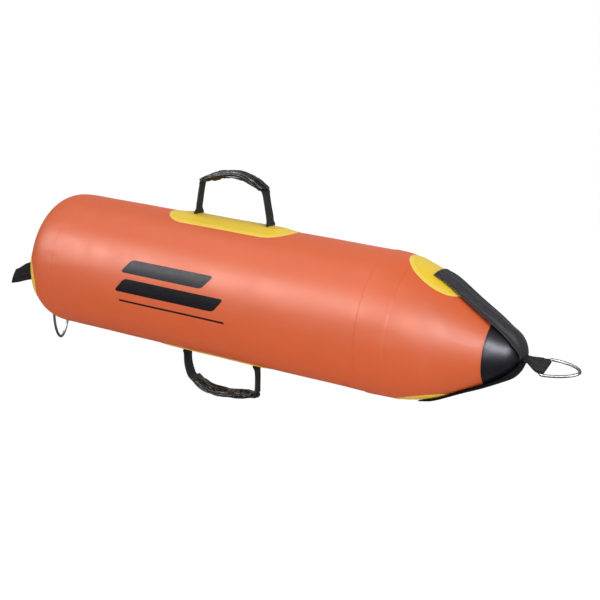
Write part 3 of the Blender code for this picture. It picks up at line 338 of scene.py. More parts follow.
def outline_points():
    """(x, radius) of the hull's outline, from the tail's middle to the tip."""
    points = []
    for i in range(OUTLINE_STEPS + 1):
        turn = math.pi / 2 * i / OUTLINE_STEPS
        power = 2 / TAIL_ROUNDNESS
        depth = max(math.cos(turn), 0) ** power
        points.append((TAIL_SEAM_X - TAIL_DOME_DEPTH * depth, HULL_RADIUS * math.sin(turn) ** power))
    for i in range(OUTLINE_STEPS + 1):
        turn = NOSE_HALF_ANGLE * i / OUTLINE_STEPS
        drop = NOSE_SHOULDER_RADIUS * (1 - math.cos(turn))
        points.append((NOSE_START_X + NOSE_SHOULDER_RADIUS * math.sin(turn), HULL_RADIUS - drop))
    for i in range(OUTLINE_STEPS + 1):
        turn = NOSE_HALF_ANGLE + (math.pi / 2 - NOSE_HALF_ANGLE) * i / OUTLINE_STEPS
        x = TIP_X - NOSE_TIP_RADIUS * (1 - math.sin(turn))
        points.append((x, NOSE_TIP_RADIUS * max(math.cos(turn), 0)))
    return points


def outline_table():
    """(distance along the surface, x, radius, outward normal) for each outline point."""
    points = [Vector(point) for point in outline_points()]
    sides = [(after - before).normalized() for before, after in zip(points, points[1:])]
    rows = []
    distance = 0
    for i, point in enumerate(points):
        if i:
            distance += (point - points[i - 1]).length
        along = sides[max(i - 1, 0)] + sides[min(i, len(sides) - 1)]
        normal = Vector((-along.y, along.x)).normalized()
        if i == 0:
            normal = Vector((-1, 0))
        if i == len(points) - 1:
            normal = Vector((1, 0))
        rows.append((distance, point.x, point.y, normal))
    return rows


OUTLINE = outline_table()
DISTANCES = [row[0] for row in OUTLINE]
STATIONS = [row[1] for row in OUTLINE]
TIP_DISTANCE = DISTANCES[-1]


def stretch(values, value):
    """The outline's rows before and after a value."""
    place = min(max(bisect.bisect_left(values, value), 1), len(OUTLINE) - 1)
    return OUTLINE[place - 1], OUTLINE[place]


def on_outline(distance):
    """(x, radius, normal) at a distance along the surface from the tail's middle."""
    before, after = stretch(DISTANCES, distance)
    share = min(max((distance - before[0]) / (after[0] - before[0]), 0), 1)
    x = before[1] + (after[1] - before[1]) * share
    radius = before[2] + (after[2] - before[2]) * share
    return x, radius, before[3].lerp(after[3], share).normalized()


def distance_at(x):
    """The distance along the surface at which the outline passes x."""
    if x >= TIP_X:
        return TIP_DISTANCE
    before, after = stretch(STATIONS, x)
    return before[0] + (after[0] - before[0]) * (x - before[1]) / (after[1] - before[1])


def droop(x):
    """How far the hull's centre hangs below the axis at x."""
    share = min(max((x - NOSE_SEAM_X) / (TIP_X - NOSE_SEAM_X), 0), 1)
    return NOSE_DROOP * math.sin(DROOP_TURN * share ** DROOP_POWER)


SEAM_DISTANCE = distance_at(TAIL_SEAM_X)
NOSE_SEAM_DISTANCE = distance_at(NOSE_SEAM_X)
TIP_ARC_START = TIP_DISTANCE - NOSE_TIP_RADIUS * (math.pi / 2 - NOSE_HALF_ANGLE)
CAP_START = distance_at(TIP_X - CAP_LENGTH)
SEAM_TAPE_START = NOSE_SEAM_DISTANCE - SEAM_TAPE_WIDTH / 2
SEAM_TAPE_END = NOSE_SEAM_DISTANCE + SEAM_TAPE_WIDTH / 2
PUCKERED_WELDS = ((SEAM_DISTANCE, 1), (SEAM_TAPE_START, 0.5), (SEAM_TAPE_END, 0.8), (CAP_START, 0.7))
NOSE_PATCH_CENTRE = distance_at(TIP_X - NOSE_LENGTH * NOSE_PATCH_SHARE)
HANDLE_DISTANCE = distance_at(TAIL_SEAM_X + HANDLE_STATION)


def eased(share):
    """A share from 0 to 1 with an even start and end."""
    share = min(max(share, 0), 1)
    return share * share * (3 - 2 * share)


def near(value, centre, reach):
    """1 at the centre, falling to 0 some reaches away."""
    return math.exp(-(((value - centre) / reach) ** 2))


def uneven(distance, spot):
    """How far the skin stands off its outline at a spot: soft waves, and puckers along the welds."""
    around = Vector((0, spot.y, spot.z)) / PUCKER_LENGTH
    puckers = 0
    for weld, share in PUCKERED_WELDS:
        closeness = near(distance, weld, PUCKER_REACH)
        if closeness > 0.01:
            puckers += share * closeness * noise.noise(around + Vector((weld * PUCKER_SHIFT, 0, 0)))
    return noise.noise(spot / WAVE_LENGTH) * WAVE_HEIGHT + puckers * PUCKER_HEIGHT


def true_point(distance, angle, lift):
    """A point over the hull's true outline, without the cloth's unevenness."""
    x, radius, normal = on_outline(distance)
    radius += normal.y * lift
    return Vector((x + normal.x * lift, -math.sin(angle) * radius, math.cos(angle) * radius - droop(x)))


def hull_point(distance, angle, lift):
    """A point over the inflated hull's surface."""
    x, radius, _ = on_outline(distance)
    spot = Vector((x, -math.sin(angle) * radius, math.cos(angle) * radius))
    return true_point(distance, angle, lift + uneven(distance, spot))


def over_line(centre, side):
    """Lays a flat cut about a distance along the hull's top line (side 0) or bottom line (side 1)."""

    def place(along, across, lift):
        distance = centre + along
        return hull_point(distance, math.pi * side - across / on_outline(distance)[1], lift)

    return place


def sideways(distance, side, across):
    """(distance, angle) of the surface to the side of the hull's top or bottom line."""
    x, radius, normal = on_outline(distance)
    up = 1 - 2 * side
    curve = NOSE_TIP_RADIUS if distance > TIP_ARC_START else radius / normal.y
    start = Vector((x, curve * math.sin(across / curve) * up, up * radius - droop(x)))
    inward = Vector((-normal.x, 0, -normal.y * up))
    low = 0
    high = curve
    for _ in range(BISECTIONS):
        depth = (low + high) / 2
        point = start + inward * depth
        outside = math.hypot(point.y, point.z + droop(point.x)) > on_outline(distance_at(point.x))[1]
        low, high = (depth, high) if outside else (low, depth)
    return distance_at(point.x), math.atan2(-point.y, point.z + droop(point.x))


# Modelling


def deselect():
    bpy.ops.object.select_all(action="DESELECT")


def named(name):
    """Names the object that an operator has just made."""
    piece = bpy.context.object
    piece.name = name
    piece.data.name = name
    return piece


def pick(piece):
    deselect()
    piece.select_set(True)
    bpy.context.view_layer.objects.active = piece


def apply_modifier(piece, kind, **settings):
    pick(piece)
    modifier = piece.modifiers.new(kind.lower(), kind)
    for key, value in settings.items():
        setattr(modifier, key, value)
    bpy.ops.object.modifier_apply(modifier=modifier.name)


def edit_all(piece):
    pick(piece)
    bpy.ops.object.mode_set(mode="EDIT")
    bpy.ops.mesh.select_all(action="SELECT")


def end_edit():
    bpy.ops.object.mode_set(mode="OBJECT")


def close_doubles(piece, outwards=False):
    edit_all(piece)
    bpy.ops.mesh.remove_doubles(threshold=0.00002)
    if outwards:
        bpy.ops.mesh.normals_make_consistent(inside=False)
    end_edit()


def smooth(piece, degrees=40):
    pick(piece)
    bpy.ops.object.shade_smooth_by_angle(angle=math.radians(degrees))
    return piece


def thicken(piece, thickness, offset=1):
    """Gives a laid cut its wall, outwards unless the offset says otherwise."""
    apply_modifier(piece, "SOLIDIFY", thickness=thickness, offset=offset)
    return smooth(piece)


def laid(name, rows, columns, cut):
    """A flat cut laid in place.

    cut(row, column) gives the place, the spot on the cloth and, where the piece shows one, the share of rim.
    """
    deselect()
    bpy.ops.mesh.primitive_grid_add(x_subdivisions=rows, y_subdivisions=columns, size=1)
    piece = named(name)
    mesh = piece.data
    cells = [cut(round((v.co.x + 0.5) * rows), round((v.co.y + 0.5) * columns)) for v in mesh.vertices]
    threads = mesh.uv_layers.active
    threads.name = "cloth"
    threads.data.foreach_set("uv", [value for loop in mesh.loops for value in cells[loop.vertex_index][1]])
    mesh.vertices.foreach_set("co", [value for cell in cells for value in cell[0]])
    if len(cells[0]) > 2:
        mesh.attributes.new("rim", "FLOAT", "POINT").data.foreach_set("value", [cell[2] for cell in cells])
    close_doubles(piece)
    return piece


def follow(points, wides):
    """The place on a strip that runs along points, and the strip's length."""
    lengths = [0]
    for before, after in zip(points, points[1:]):
        lengths.append(lengths[-1] + (after - before).length)
    ways = []
    for i in range(len(points)):
        ways.append((points[min(i + 1, len(points) - 1)] - points[max(i - 1, 0)]).normalized())

    def spot(along, across, over):
        i = min(max(bisect.bisect_right(lengths, along) - 1, 0), len(points) - 2)
        share = min(max((along - lengths[i]) / (lengths[i + 1] - lengths[i]), 0), 1)
        wide = wides[i].lerp(wides[i + 1], share).normalized()
        high = ways[i].lerp(ways[i + 1], share).cross(wide).normalized()
        return points[i].lerp(points[i + 1], share) + wide * across + high * over

    return spot, lengths[-1]


def strip_section(width, thickness, count):
    """(across, over) once round a flat strip with round edges."""
    edge = thickness / 2
    flat = width / 2 - edge
    half = [(flat * (2 * i / count - 1), edge) for i in range(count + 1)]
    for i in range(1, EDGE_STEPS):
        turn = math.pi / 2 - math.pi * i / EDGE_STEPS
        half.append((flat + edge * math.cos(turn), edge * math.sin(turn)))
    return half + [(-across, -over) for across, over in half] + half[:1]


def strip(name, start, end, rows, count, width, thickness, spot, edge_shade=0):
    """A woven strip with round edges and ends, with a band of painted shade along its edges to a depth.

    width and thickness are functions of the way along.
    """
    tip = thickness(start) / 2
    inner = [start + tip + (end - start - 2 * tip) * i / rows for i in range(rows + 1)]
    stations = [(start, 0), (start + tip * 0.15, EDGE_FULLNESS)] + [(along, 1) for along in inner]
    stations += [(end - tip * 0.15, EDGE_FULLNESS), (end, 0)]
    rings = []
    for along, full in stations:
        section = strip_section(width(along), thickness(along), count)
        rings.append([(along, across, over * full) for across, over in section])

    def cut(i, j):
        along, across, over = rings[i][j]
        cell = (spot(along, across, over), (along, across))
        # The rim share marks the band of painted shade along the edges.
        if edge_shade:
            cell += (eased(1 - (width(along) / 2 - abs(across) - edge_shade) / EDGE_ROLL),)
        return cell

    return smooth(laid(name, len(rings) - 1, len(rings[0]) - 1, cut), 50)


def steady(value):
    return lambda along: value


def patch(name, length, width, over_hull, raised, rows, columns):
    """A welded patch with round ends.

    over_hull(along, across, lift) gives its place, raised(along, across) its height beyond the weld.
    """
    radius = width / 2
    straight = (length - width) / 2
    reach = straight + radius * math.pi / 2

    def cut(i, j):
        arc = reach * (2 * i / rows - 1)
        turn = max(abs(arc) - straight, 0) / radius
        along = math.copysign(min(abs(arc), straight) + radius * math.sin(turn), arc)
        across = radius * math.cos(turn) * math.sin(math.pi / 2 * (2 * j / columns - 1))
        to_edge = radius - math.hypot(max(abs(along) - straight, 0), across)
        rim = 1 - eased((to_edge - PATCH_RIM) / EDGE_ROLL)
        rolled = PATCH_THICKNESS * (1 - eased(to_edge / EDGE_ROLL)) * 0.5
        lift = PATCH_LIFT - PATCH_RIM_DEPTH * rim - rolled + raised(along, across)
        return over_hull(along, across, lift), (along, across), rim

    return thicken(laid(name, rows, columns, cut), PATCH_THICKNESS)


def curve_line(name, points, cyclic=False):
    curve = bpy.data.curves.new(name, "CURVE")
    curve.dimensions = "3D"
    line = curve.splines.new("POLY")
    line.points.add(len(points) - 1)
    line.use_cyclic_u = cyclic
    for point, spot in zip(line.points, points):
        point.co = (*spot, 1)
    made = bpy.data.objects.new(name, curve)
    bpy.context.collection.objects.link(made)
    return made


def join(name, pieces):
    pick(pieces[0])
    for piece in pieces:
        piece.select_set(True)
    bpy.ops.object.join()
    return named(name)


def seam(spot, start, end, over, count):
    """Points straight over a cut from one (along, across) to another."""
    points = []
    for i in range(count + 1):
        along, across = (before + (after - before) * i / count for before, after in zip(start, end))
        points.append(spot(along, across, over))
    return points


def stitching(name, rows):
    """Rows of stitches, one stitch repeated along each line of points."""
    made = []
    for points in rows:
        length = sum((after - before).length for before, after in zip(points, points[1:]))
        deselect()
        bpy.ops.mesh.primitive_uv_sphere_add(segments=6, ring_count=4, radius=STITCH_THICKNESS / 2)
        stitch = bpy.context.object
        edit_all(stitch)
        bpy.ops.transform.resize(value=(STITCH_LENGTH / STITCH_THICKNESS, 1, 1))
        bpy.ops.transform.translate(value=(STITCH_PITCH / 2, 0, 0))
        end_edit()
        apply_modifier(
            stitch,
            "ARRAY",
            count=max(int(length / STITCH_PITCH), 1),
            use_relative_offset=False,
            use_constant_offset=True,
            constant_offset_displace=(STITCH_PITCH, 0, 0),
        )
        line = curve_line(name + "_line", points)
        apply_modifier(stitch, "CURVE", object=line, deform_axis="POS_X")
        bpy.data.objects.remove(line)
        made.append(stitch)
    return smooth(join(name, made), 60)


def dress(piece, body, slot, look, *nodes):
    """Gives a finished piece its material and its body, and hides the nodes that it stands for."""
    piece.data.materials.clear()
    piece.data.materials.append(look)
    if body:
        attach(piece, body)
    if nodes:
        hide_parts(*nodes)


# Materials


def put(tree, kind, values=(), links=(), **settings):
    made = tree.nodes.new(kind)
    for key, value in settings.items():
        setattr(made, key, value)
    for socket, value in values:
        made.inputs[socket].default_value = value
    for socket, source in links:
        tree.links.new(source, made.inputs[socket])
    return made


def shader_of(name, colour, roughness, **sockets):
    """A new material, its nodes and its shader, whose sockets take constant values."""
    look = bpy.data.materials.new(name)
    look.use_nodes = True
    look.diffuse_color = (*colour, 1)
    shader = look.node_tree.nodes["Principled BSDF"]
    shader.inputs["Base Color"].default_value = (*colour, 1)
    shader.inputs["Roughness"].default_value = roughness
    for key, value in sockets.items():
        shader.inputs[key.replace("_", " ")].default_value = value
    return look, look.node_tree, shader


def surface(tree, shader, tone, rough, relief):
    for socket, source in (("Base Color", tone), ("Roughness", rough), ("Normal", relief)):
        tree.links.new(source, shader.inputs[socket])


def in_place(tree):
    return put(tree, "ShaderNodeTexCoord").outputs["Object"]


def on_cloth(tree):
    return put(tree, "ShaderNodeUVMap", uv_map="cloth").outputs["UV"]


def at_rim(tree):
    return put(tree, "ShaderNodeAttribute", attribute_name="rim").outputs["Fac"]


def clouds(tree, coordinates, scale, detail):
    values = [("Scale", scale), ("Detail", detail)]
    return put(tree, "ShaderNodeTexNoise", values, [("Vector", coordinates)]).outputs["Fac"]


def mottled(tree, coordinates, scale, detail, low, high):
    """A soft noise brought to a range."""
    spread = [("From Min", 0.3), ("From Max", 0.7), ("To Min", low), ("To Max", high)]
    cloud = clouds(tree, coordinates, scale, detail)
    return put(tree, "ShaderNodeMapRange", spread, [("Value", cloud)]).outputs["Result"]


def blend_colours(tree, share, first, second):
    """Two colours mixed by a share. Each is a colour or a node's output."""
    made = put(tree, "ShaderNodeMix", links=[("Factor", share)], data_type="RGBA")
    for socket, colour in ((made.inputs[6], first), (made.inputs[7], second)):
        if isinstance(colour, tuple):
            socket.default_value = (*colour, 1)
        else:
            tree.links.new(colour, socket)
    return made.outputs[2]


def arithmetic(tree, operation, *values):
    made = put(tree, "ShaderNodeMath", operation=operation)
    for socket, value in zip(made.inputs, values):
        if isinstance(value, (int, float)):
            socket.default_value = value
        else:
            tree.links.new(value, socket)
    return made.outputs[0]


def ridges(tree, along, pitch, depth):
    """Waves of that pitch, from 0 to twice the depth."""
    wave = arithmetic(tree, "SINE", arithmetic(tree, "MULTIPLY", along, 2 * math.pi / pitch))
    return arithmetic(tree, "MULTIPLY_ADD", wave, depth, depth)


def bump(tree, height, distance, strength, below=None):
    made = put(tree, "ShaderNodeBump", [("Distance", distance), ("Strength", strength)], [("Height", height)])
    if below:
        tree.links.new(below, made.inputs["Normal"])
    return made.outputs["Normal"]


def plain_weave(tree, pitch):
    """The height of a plain weave of that pitch."""
    heights = []
    for way in ("X", "Y"):
        values = [("Scale", math.pi / 10 / pitch)]
        wave = put(tree, "ShaderNodeTexWave", values, [("Vector", on_cloth(tree))], bands_direction=way)
        heights.append(wave.outputs["Fac"])
    return arithmetic(tree, "MULTIPLY", *heights)


def coated_cloth(name, colour, other, roughness, shine, pale=None, weave=0.35, tint=(1, 1, 1)):
    """Coated cloth: two close tones, a faint weave under the coating, and light rubbing."""
    sockets = {"Specular_IOR_Level": shine, "Specular_Tint": (*tint, 1)}
    look, tree, shader = shader_of(name, colour, roughness, **sockets)
    place = in_place(tree)
    tone = blend_colours(tree, mottled(tree, place, 9, 3, 0, 0.55), colour, other)
    rubbed = arithmetic(tree, "MAXIMUM", mottled(tree, place, 60, 6, -0.5, 0.08), 0)
    tone = blend_colours(tree, rubbed, tone, tuple(min(c * 1.25 + 0.02, 1) for c in colour))
    if pale:
        tone = blend_colours(tree, arithmetic(tree, "MULTIPLY", at_rim(tree), 0.75), tone, pale)
    rough = mottled(tree, place, 35, 4, roughness - 0.05, roughness + 0.06)
    relief = bump(tree, clouds(tree, place, 170, 2), 0.0002, 0.25)
    surface(tree, shader, tone, rough, bump(tree, plain_weave(tree, CLOTH_THREAD), 0.0001, weave, relief))
    return look


def webbing(name, fold=0.0042, shine=0.30, roughness=0.62, tint=(1, 1, 1)):
    """Narrow weave with slanting ribs that turn back at each fold across the width."""
    sockets = {"Sheen_Weight": 0.02, "Specular_IOR_Level": shine, "Specular_Tint": (*tint, 1)}
    look, tree, shader = shader_of(name, BLACK_THREAD, roughness, **sockets)
    place = in_place(tree)
    parts = put(tree, "ShaderNodeSeparateXYZ", links=[("Vector", on_cloth(tree))])
    slant = arithmetic(tree, "PINGPONG", parts.outputs["Y"], fold)
    ribs = ridges(tree, arithmetic(tree, "ADD", parts.outputs["X"], slant), RIB_PITCH, 0.5)
    height = arithmetic(tree, "ADD", ribs, ridges(tree, parts.outputs["Y"], FINE_RIB_PITCH, 0.25))
    # Painted light: the rib crests are lighter than the grooves, in patches.
    lit_rib_crests = arithmetic(tree, "MULTIPLY", ribs, mottled(tree, place, 55, 4, 0.35, 1))
    # Painted shade: near black and rougher where the rim share is set, along the nose straps' edges.
    edge_shade = at_rim(tree)
    tone = blend_colours(tree, edge_shade, blend_colours(tree, lit_rib_crests, BLACK_THREAD, BLACK_THREAD_LIT), EDGE_SHADE)
    rough = mottled(tree, place, 90, 3, roughness - 0.08, roughness + 0.08)
    rough = arithmetic(tree, "MULTIPLY_ADD", edge_shade, 0.40, rough)
    surface(tree, shader, tone, rough, bump(tree, height, 0.0004, 0.6))
    return look


def grip_cloth():
    """Thin coated cloth, drawn tight over its padding, with creases that catch the light."""
    look, tree, shader = shader_of("grip cloth", BLACK_COATING, 0.33, Specular_IOR_Level=0.50)
    place = in_place(tree)
    tone = blend_colours(tree, mottled(tree, place, 120, 5, 0, 1), GRIP_COATING, GRIP_COATING_LIT)
    drawn = put(tree, "ShaderNodeMapping", [("Scale", (24, 90, 1))], [("Vector", on_cloth(tree))])
    relief = bump(tree, clouds(tree, drawn.outputs["Vector"], 1, 3), 0.0012, 0.15)
    relief = bump(tree, plain_weave(tree, GRIP_THREAD), 0.0001, 0.3, relief)
    surface(tree, shader, tone, mottled(tree, place, 120, 3, 0.28, 0.38), relief)
    return look


def polished_steel():
    """Drawn and polished wire with fine scratches."""
    sockets = {"Metallic": 1.0, "Specular_Tint": (0.10, 0.10, 0.10, 1)}
    look, tree, shader = shader_of("polished steel", STEEL, 0.30, **sockets)
    place = in_place(tree)
    tone = blend_colours(tree, mottled(tree, place, 80, 3, 0, 1), STEEL_DARK, STEEL_LIT)
    scratches = bump(tree, clouds(tree, place, 900, 2), 0.00005, 0.3)
    surface(tree, shader, tone, mottled(tree, place, 220, 5, 0.26, 0.38), scratches)
    return look


def moulded(name, dark, lit, roughness, grain, shine=0.4):
    """Moulded plastic or rubber with a fine grain."""
    look, tree, shader = shader_of(name, dark, roughness, Specular_IOR_Level=shine)
    place = in_place(tree)
    tone = blend_colours(tree, mottled(tree, place, 90, 4, 0, 1), dark, lit)
    rough = mottled(tree, place, 200, 3, roughness - 0.07, roughness + 0.07)
    surface(tree, shader, tone, rough, bump(tree, clouds(tree, place, grain, 3), 0.0001, 0.35))
    return look


# The hull


def hull_skin(name, start, end, rows, columns, lift, polar=None):
    """A panel of the hull from one distance to another, its cloth straight or cut round a pole."""

    def cut(i, j):
        distance = start + (end - start) * i / rows
        angle = 2 * math.pi * (1 - j / columns)
        place = hull_point(distance, angle, lift(distance))
        if polar is None:
            return place, (distance, -angle * HULL_RADIUS)
        reach = abs(distance - polar)
        return place, (reach * math.cos(angle), reach * math.sin(angle))

    return laid(name, rows, columns, cut)


def hull_panels(orange):
    def tail_lift(distance):
        return -SEAM_STEP * eased((distance - SEAM_DISTANCE) / SEAM_STEP)

    def tube_lift(distance):
        return -SEAM_STEP / 2 * (1 - eased((distance - SEAM_DISTANCE) / EDGE_ROLL))

    def cone_lift(distance):
        return -SEAM_STEP * (1 - eased((distance - NOSE_SEAM_DISTANCE) / EDGE_ROLL))

    tail_end = SEAM_DISTANCE + SEAM_LAP
    tube_ends = (SEAM_DISTANCE + TUBE_START_GAP, NOSE_SEAM_DISTANCE - TUBE_END_GAP)
    cone_ends = (NOSE_SEAM_DISTANCE - SEAM_LAP, TIP_DISTANCE - CONE_OPENING)
    tail = hull_skin("tail_skin", 0, tail_end, 110, 160, tail_lift, polar=0)
    tube = hull_skin("tube_skin", *tube_ends, 200, 160, tube_lift)
    cone = hull_skin("cone_skin", *cone_ends, 120, 160, cone_lift)
    skins = ((tail, ("tail_panel", "tail_seam_tape")), (tube, ("tube_panel",)), (cone, ("nose_cone_panel",)))
    for piece, nodes in skins:
        dress(thicken(piece, SKIN, -1), "hull", "orange_fabric", orange, *nodes)


def tapes(orange):
    rows = 150
    columns = 24
    start = SEAM_DISTANCE + LONG_TAPE_START_GAP
    end = SEAM_TAPE_START - LONG_TAPE_END_GAP

    def rolled(to_edge):
        return TAPE_THICKNESS * (eased(to_edge / EDGE_ROLL) - 1) + TAPE_LIFT

    def lift(distance):
        return rolled(min(distance - SEAM_TAPE_START, SEAM_TAPE_END - distance))

    def long_cut(i, j):
        along = start + (end - start) * i / rows
        across = LONG_TAPE_WIDTH * (j / columns - 0.5)
        raised = rolled(min(LONG_TAPE_WIDTH / 2 - abs(across), along - start, end - along))
        return hull_point(along, LONG_TAPE_ANGLE - across / HULL_RADIUS, raised), (along, across)

    seam_tape = hull_skin("seam_tape", SEAM_TAPE_START, SEAM_TAPE_END, 64, 200, lift)
    long_tape = laid("long_seam_cover", rows, columns, long_cut)
    for piece, node in ((seam_tape, "nose_seam_tape"), (long_tape, "long_seam_tape")):
        dress(thicken(piece, TAPE_THICKNESS), "hull", "orange_fabric", orange, node)


def nose_cover(black):
    """The cap over the cone's end, its edge rolled down to the cone."""

    def lift(distance):
        past = distance - CAP_START
        return PATCH_LIFT - CAP_THICKNESS * CAP_EDGE_SHARE * (1 - eased(past / EDGE_ROLL))

    cap = hull_skin("nose_cover", CAP_START, TIP_DISTANCE, 72, 128, lift, polar=TIP_DISTANCE)
    dress(thicken(cap, CAP_THICKNESS), "hull", "black_fabric", black, "nose_cap")


def nose_patches(yellow):
    def raised(along, across):
        return TAPE_THICKNESS * (1 - eased((NOSE_PATCH_CENTRE + along - SEAM_TAPE_END) / TAPE_RAMP))

    size = 2 * NOSE_PATCH_RADIUS
    for side, place in enumerate(("top", "bottom")):
        piece = patch(place + "_nose_disc", size, size, over_line(NOSE_PATCH_CENTRE, side), raised, 90, 60)
        dress(piece, "hull", "yellow_fabric", yellow, place + "_nose_patch")


def strap_place(side, start, end):
    """The place on a nose strap and its width, on the top line (side 0) or the bottom line (side 1)."""
    found = {}
    base = PATCH_LIFT + PATCH_THICKNESS + STRAP_GAP + STRAP_RIB + STRAP_THICKNESS / 2

    def width(along):
        return STRAP_WIDTH * (1 - STRAP_TAPER_SHARE * eased((along - end + STRAP_TAPER) / STRAP_TAPER) ** 1.5)

    def spot(along, across, over):
        key = (round(along, 6), round(across, 6))
        if key not in found:
            found[key] = sideways(along, side, across)
        over_cap = CAP_THICKNESS * eased((along - CAP_START + STRAP_RAMP) / STRAP_RAMP)
        ribs = STRAP_RIB * math.cos(2 * math.pi * across / STRAP_RIB_PITCH)
        curled = eased((abs(across) - width(along) / 2 + STRAP_CURL_WIDTH) / STRAP_CURL_WIDTH)
        curl = STRAP_CURL * curled * eased((along - start) / STRAP_CURL_START)
        return hull_point(*found[key], base + over_cap + over + ribs + curl)

    return spot, width


def nose_straps(wovens, thread):
    """Webbing down the cone to the tip, where both straps close round the loop's root."""
    for side, place in enumerate(("top", "bottom")):
        start = NOSE_PATCH_CENTRE - STRAP_START_BEHIND_PATCH_CENTRE
        end = TIP_DISTANCE - STRAP_ENDS_FROM_TIP[side]
        spot, width = strap_place(side, start, end)
        wall = steady(STRAP_THICKNESS)
        piece = strip(place + "_nose_webbing", start, end, 90, 40, width, wall, spot, STRAP_EDGE_SHADE)
        dress(piece, "hull", "black_webbing", wovens[side], place + "_nose_strap")
        top = STRAP_THICKNESS / 2 - STITCH_SINK
        hem = start + STRAP_HEM
        tack_end = hem + STRAP_TACK_LENGTH
        half = STRAP_WIDTH / 2 * SEWN_SHARE
        steps = [hem + (end - start - STRAP_SEAM_SHORT) * i / 40 for i in range(41)]
        edges = [(along, width(along) / 2 - STRAP_SEAM_INSET) for along in steps]
        rows = [[spot(along, hand * across, top) for along, across in edges] for hand in (-1, 1)]
        rows += [seam(spot, (along, -half), (along, half), top, 12) for along in (hem, tack_end)]
        rows += [seam(spot, (hem, -hand * half), (tack_end, hand * half), top, 12) for hand in (-1, 1)]
        dress(stitching(place + "_nose_stitching", rows), "hull", "black_webbing", thread)


# Rings and their loops


def ring_points():
    """(depth, across) along a tow ring's wire, from one end of its bar round and back."""
    corner = RING_CORNER_RADIUS
    half = []
    for i in range(RING_CORNER_STEPS + 1):
        turn = math.pi / 2 * i / RING_CORNER_STEPS
        across = RING_HALF_WIDTH - corner + corner * math.sin(turn)
        half.append((corner - corner * math.cos(turn), across))
    for i in range(1, RING_SIDE_STEPS + 1):
        turn = math.pi / 2 * i / (RING_SIDE_STEPS + 0.5)
        power = 2 / RING_FULLNESS
        depth = corner + (RING_DEPTH - corner) * math.sin(turn) ** power
        half.append((depth, RING_HALF_WIDTH * math.cos(turn) ** power))
    return half + [(depth, -across) for depth, across in reversed(half)]


def tow_ring(name, body, node, centre, depth_way, bar_way, steel):
    """A welded ring of round wire, its weld a slight swelling on the bar."""
    spots = [centre + depth_way * depth + bar_way * across for depth, across in ring_points()]
    spots += [spots[-1].lerp(spots[0], i / 8) for i in range(1, 8)]
    line = curve_line(name, spots, cyclic=True)
    line.data.bevel_depth = WIRE_RADIUS
    line.data.bevel_resolution = 5
    for i, radius in enumerate(RING_WELD_RADII):
        line.data.splines[0].points[len(spots) - 5 + i].radius = radius
    pick(line)
    bpy.ops.object.convert(target="MESH")
    ring = bpy.context.object
    close_doubles(ring, outwards=True)
    dress(smooth(ring, 60), body, "steel", steel, node)


def nose_loop_ways():
    """The nose loop's directions along, across and up: it sags from the tip and is a little twisted."""
    sag = Matrix.Rotation(LOOP_SAG, 3, "Y")
    along = sag @ Vector((1, 0, 0))
    across = sag @ Vector((0, math.cos(LOOP_TWIST), math.sin(LOOP_TWIST)))
    return along, across, along.cross(across)


def nose_ring(steel):
    ahead, bar_way, up = nose_loop_ways()
    depth_way = ahead * math.cos(NOSE_RING_RISE) + up * math.sin(NOSE_RING_RISE)
    bar = LOOP_ROOT + ahead * LOOP_LENGTH
    tow_ring("nose_tow_ring", "nose_ring", "nose_ring", bar, depth_way, bar_way, steel)


def nose_loop(woven, thread):
    """Webbing folded round the ring's bar, drawn together where the straps hold it."""
    eye = WIRE_RADIUS + RUNNING_GAP + LOOP_WALL / 2
    half = LOOP_WALL / 2 + 0.0002
    line = [Vector((0.0035 * i - LOOP_ROOT_TUCK, half * 0.9)) for i in range(3)]
    lead = LOOP_LENGTH - eye * 1.35
    line += [Vector((lead * i / 8, half + (eye - half) * 0.2 * eased(i / 8))) for i in range(1, 9)]
    back = [Vector((point.x, -point.y)) for point in reversed(line)]
    for i in range(17):
        turn = LOOP_WRAP * (1 - i / 8)
        line.append(Vector((LOOP_LENGTH + eye * math.cos(turn), eye * math.sin(turn))))
    line += back
    ahead, wide_way, up_way = nose_loop_ways()
    points = [LOOP_ROOT + ahead * point.x + up_way * point.y for point in line]
    along_line, length = follow(points, [wide_way] * len(points))

    def spot(along, across, over):
        flat = along_line(along, 0, over)
        share = eased((flat.x - LOOP_ROOT.x + 0.001) / (LOOP_LENGTH * 0.82))
        drawn = across * (LOOP_ROOT_WIDTH + (LOOP_WIDTH - LOOP_ROOT_WIDTH) * share) / LOOP_WIDTH
        pleat = LOOP_PLEAT * math.cos(across / LOOP_WIDTH * 4 * math.pi) * (1 - share)
        ripple = LOOP_RIPPLE * math.sin(across / LOOP_WIDTH * 6 * math.pi + 1) * share * (1 - share) * 4
        return flat + wide_way * drawn + up_way * (pleat + ripple)

    piece = strip("nose_loop_webbing", 0, length, 84, 16, steady(LOOP_WIDTH), steady(LOOP_WALL), spot)
    dress(piece, None, "black_webbing", woven, "nose_ring_loop")
    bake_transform(piece)
    side = LOOP_WIDTH / 2 * SEWN_SHARE
    rows = [seam(spot, (along, -side), (along, side), LOOP_WALL / 2, 10) for along in LOOP_SEAMS]
    dress(stitching("nose_loop_stitching", rows), "nose_loop", "black_webbing", thread)


# Carrying handles


def arch(shoulders, heights, crown, shift, steps):
    """(along, height) of a handle's arch between its two shoulders."""
    start, end = shoulders
    peak = start + (end - start) * (0.5 + shift)
    points = []
    for i in range(steps + 1):
        along = start + (end - start) * i / steps
        level = heights[0] + (heights[1] - heights[0]) * i / steps
        reach = (along - peak) / ((start if along < peak else end) - peak)
        points.append(Vector((along, level + (crown - level) * (1 - reach**2))))
    return points


def corner_arc(start, corner, end, steps):
    """Points from start to end that cut a corner in a round."""
    shares = [i / steps for i in range(steps + 1)]
    return [start.lerp(corner, share).lerp(corner.lerp(end, share), share) for share in shares]


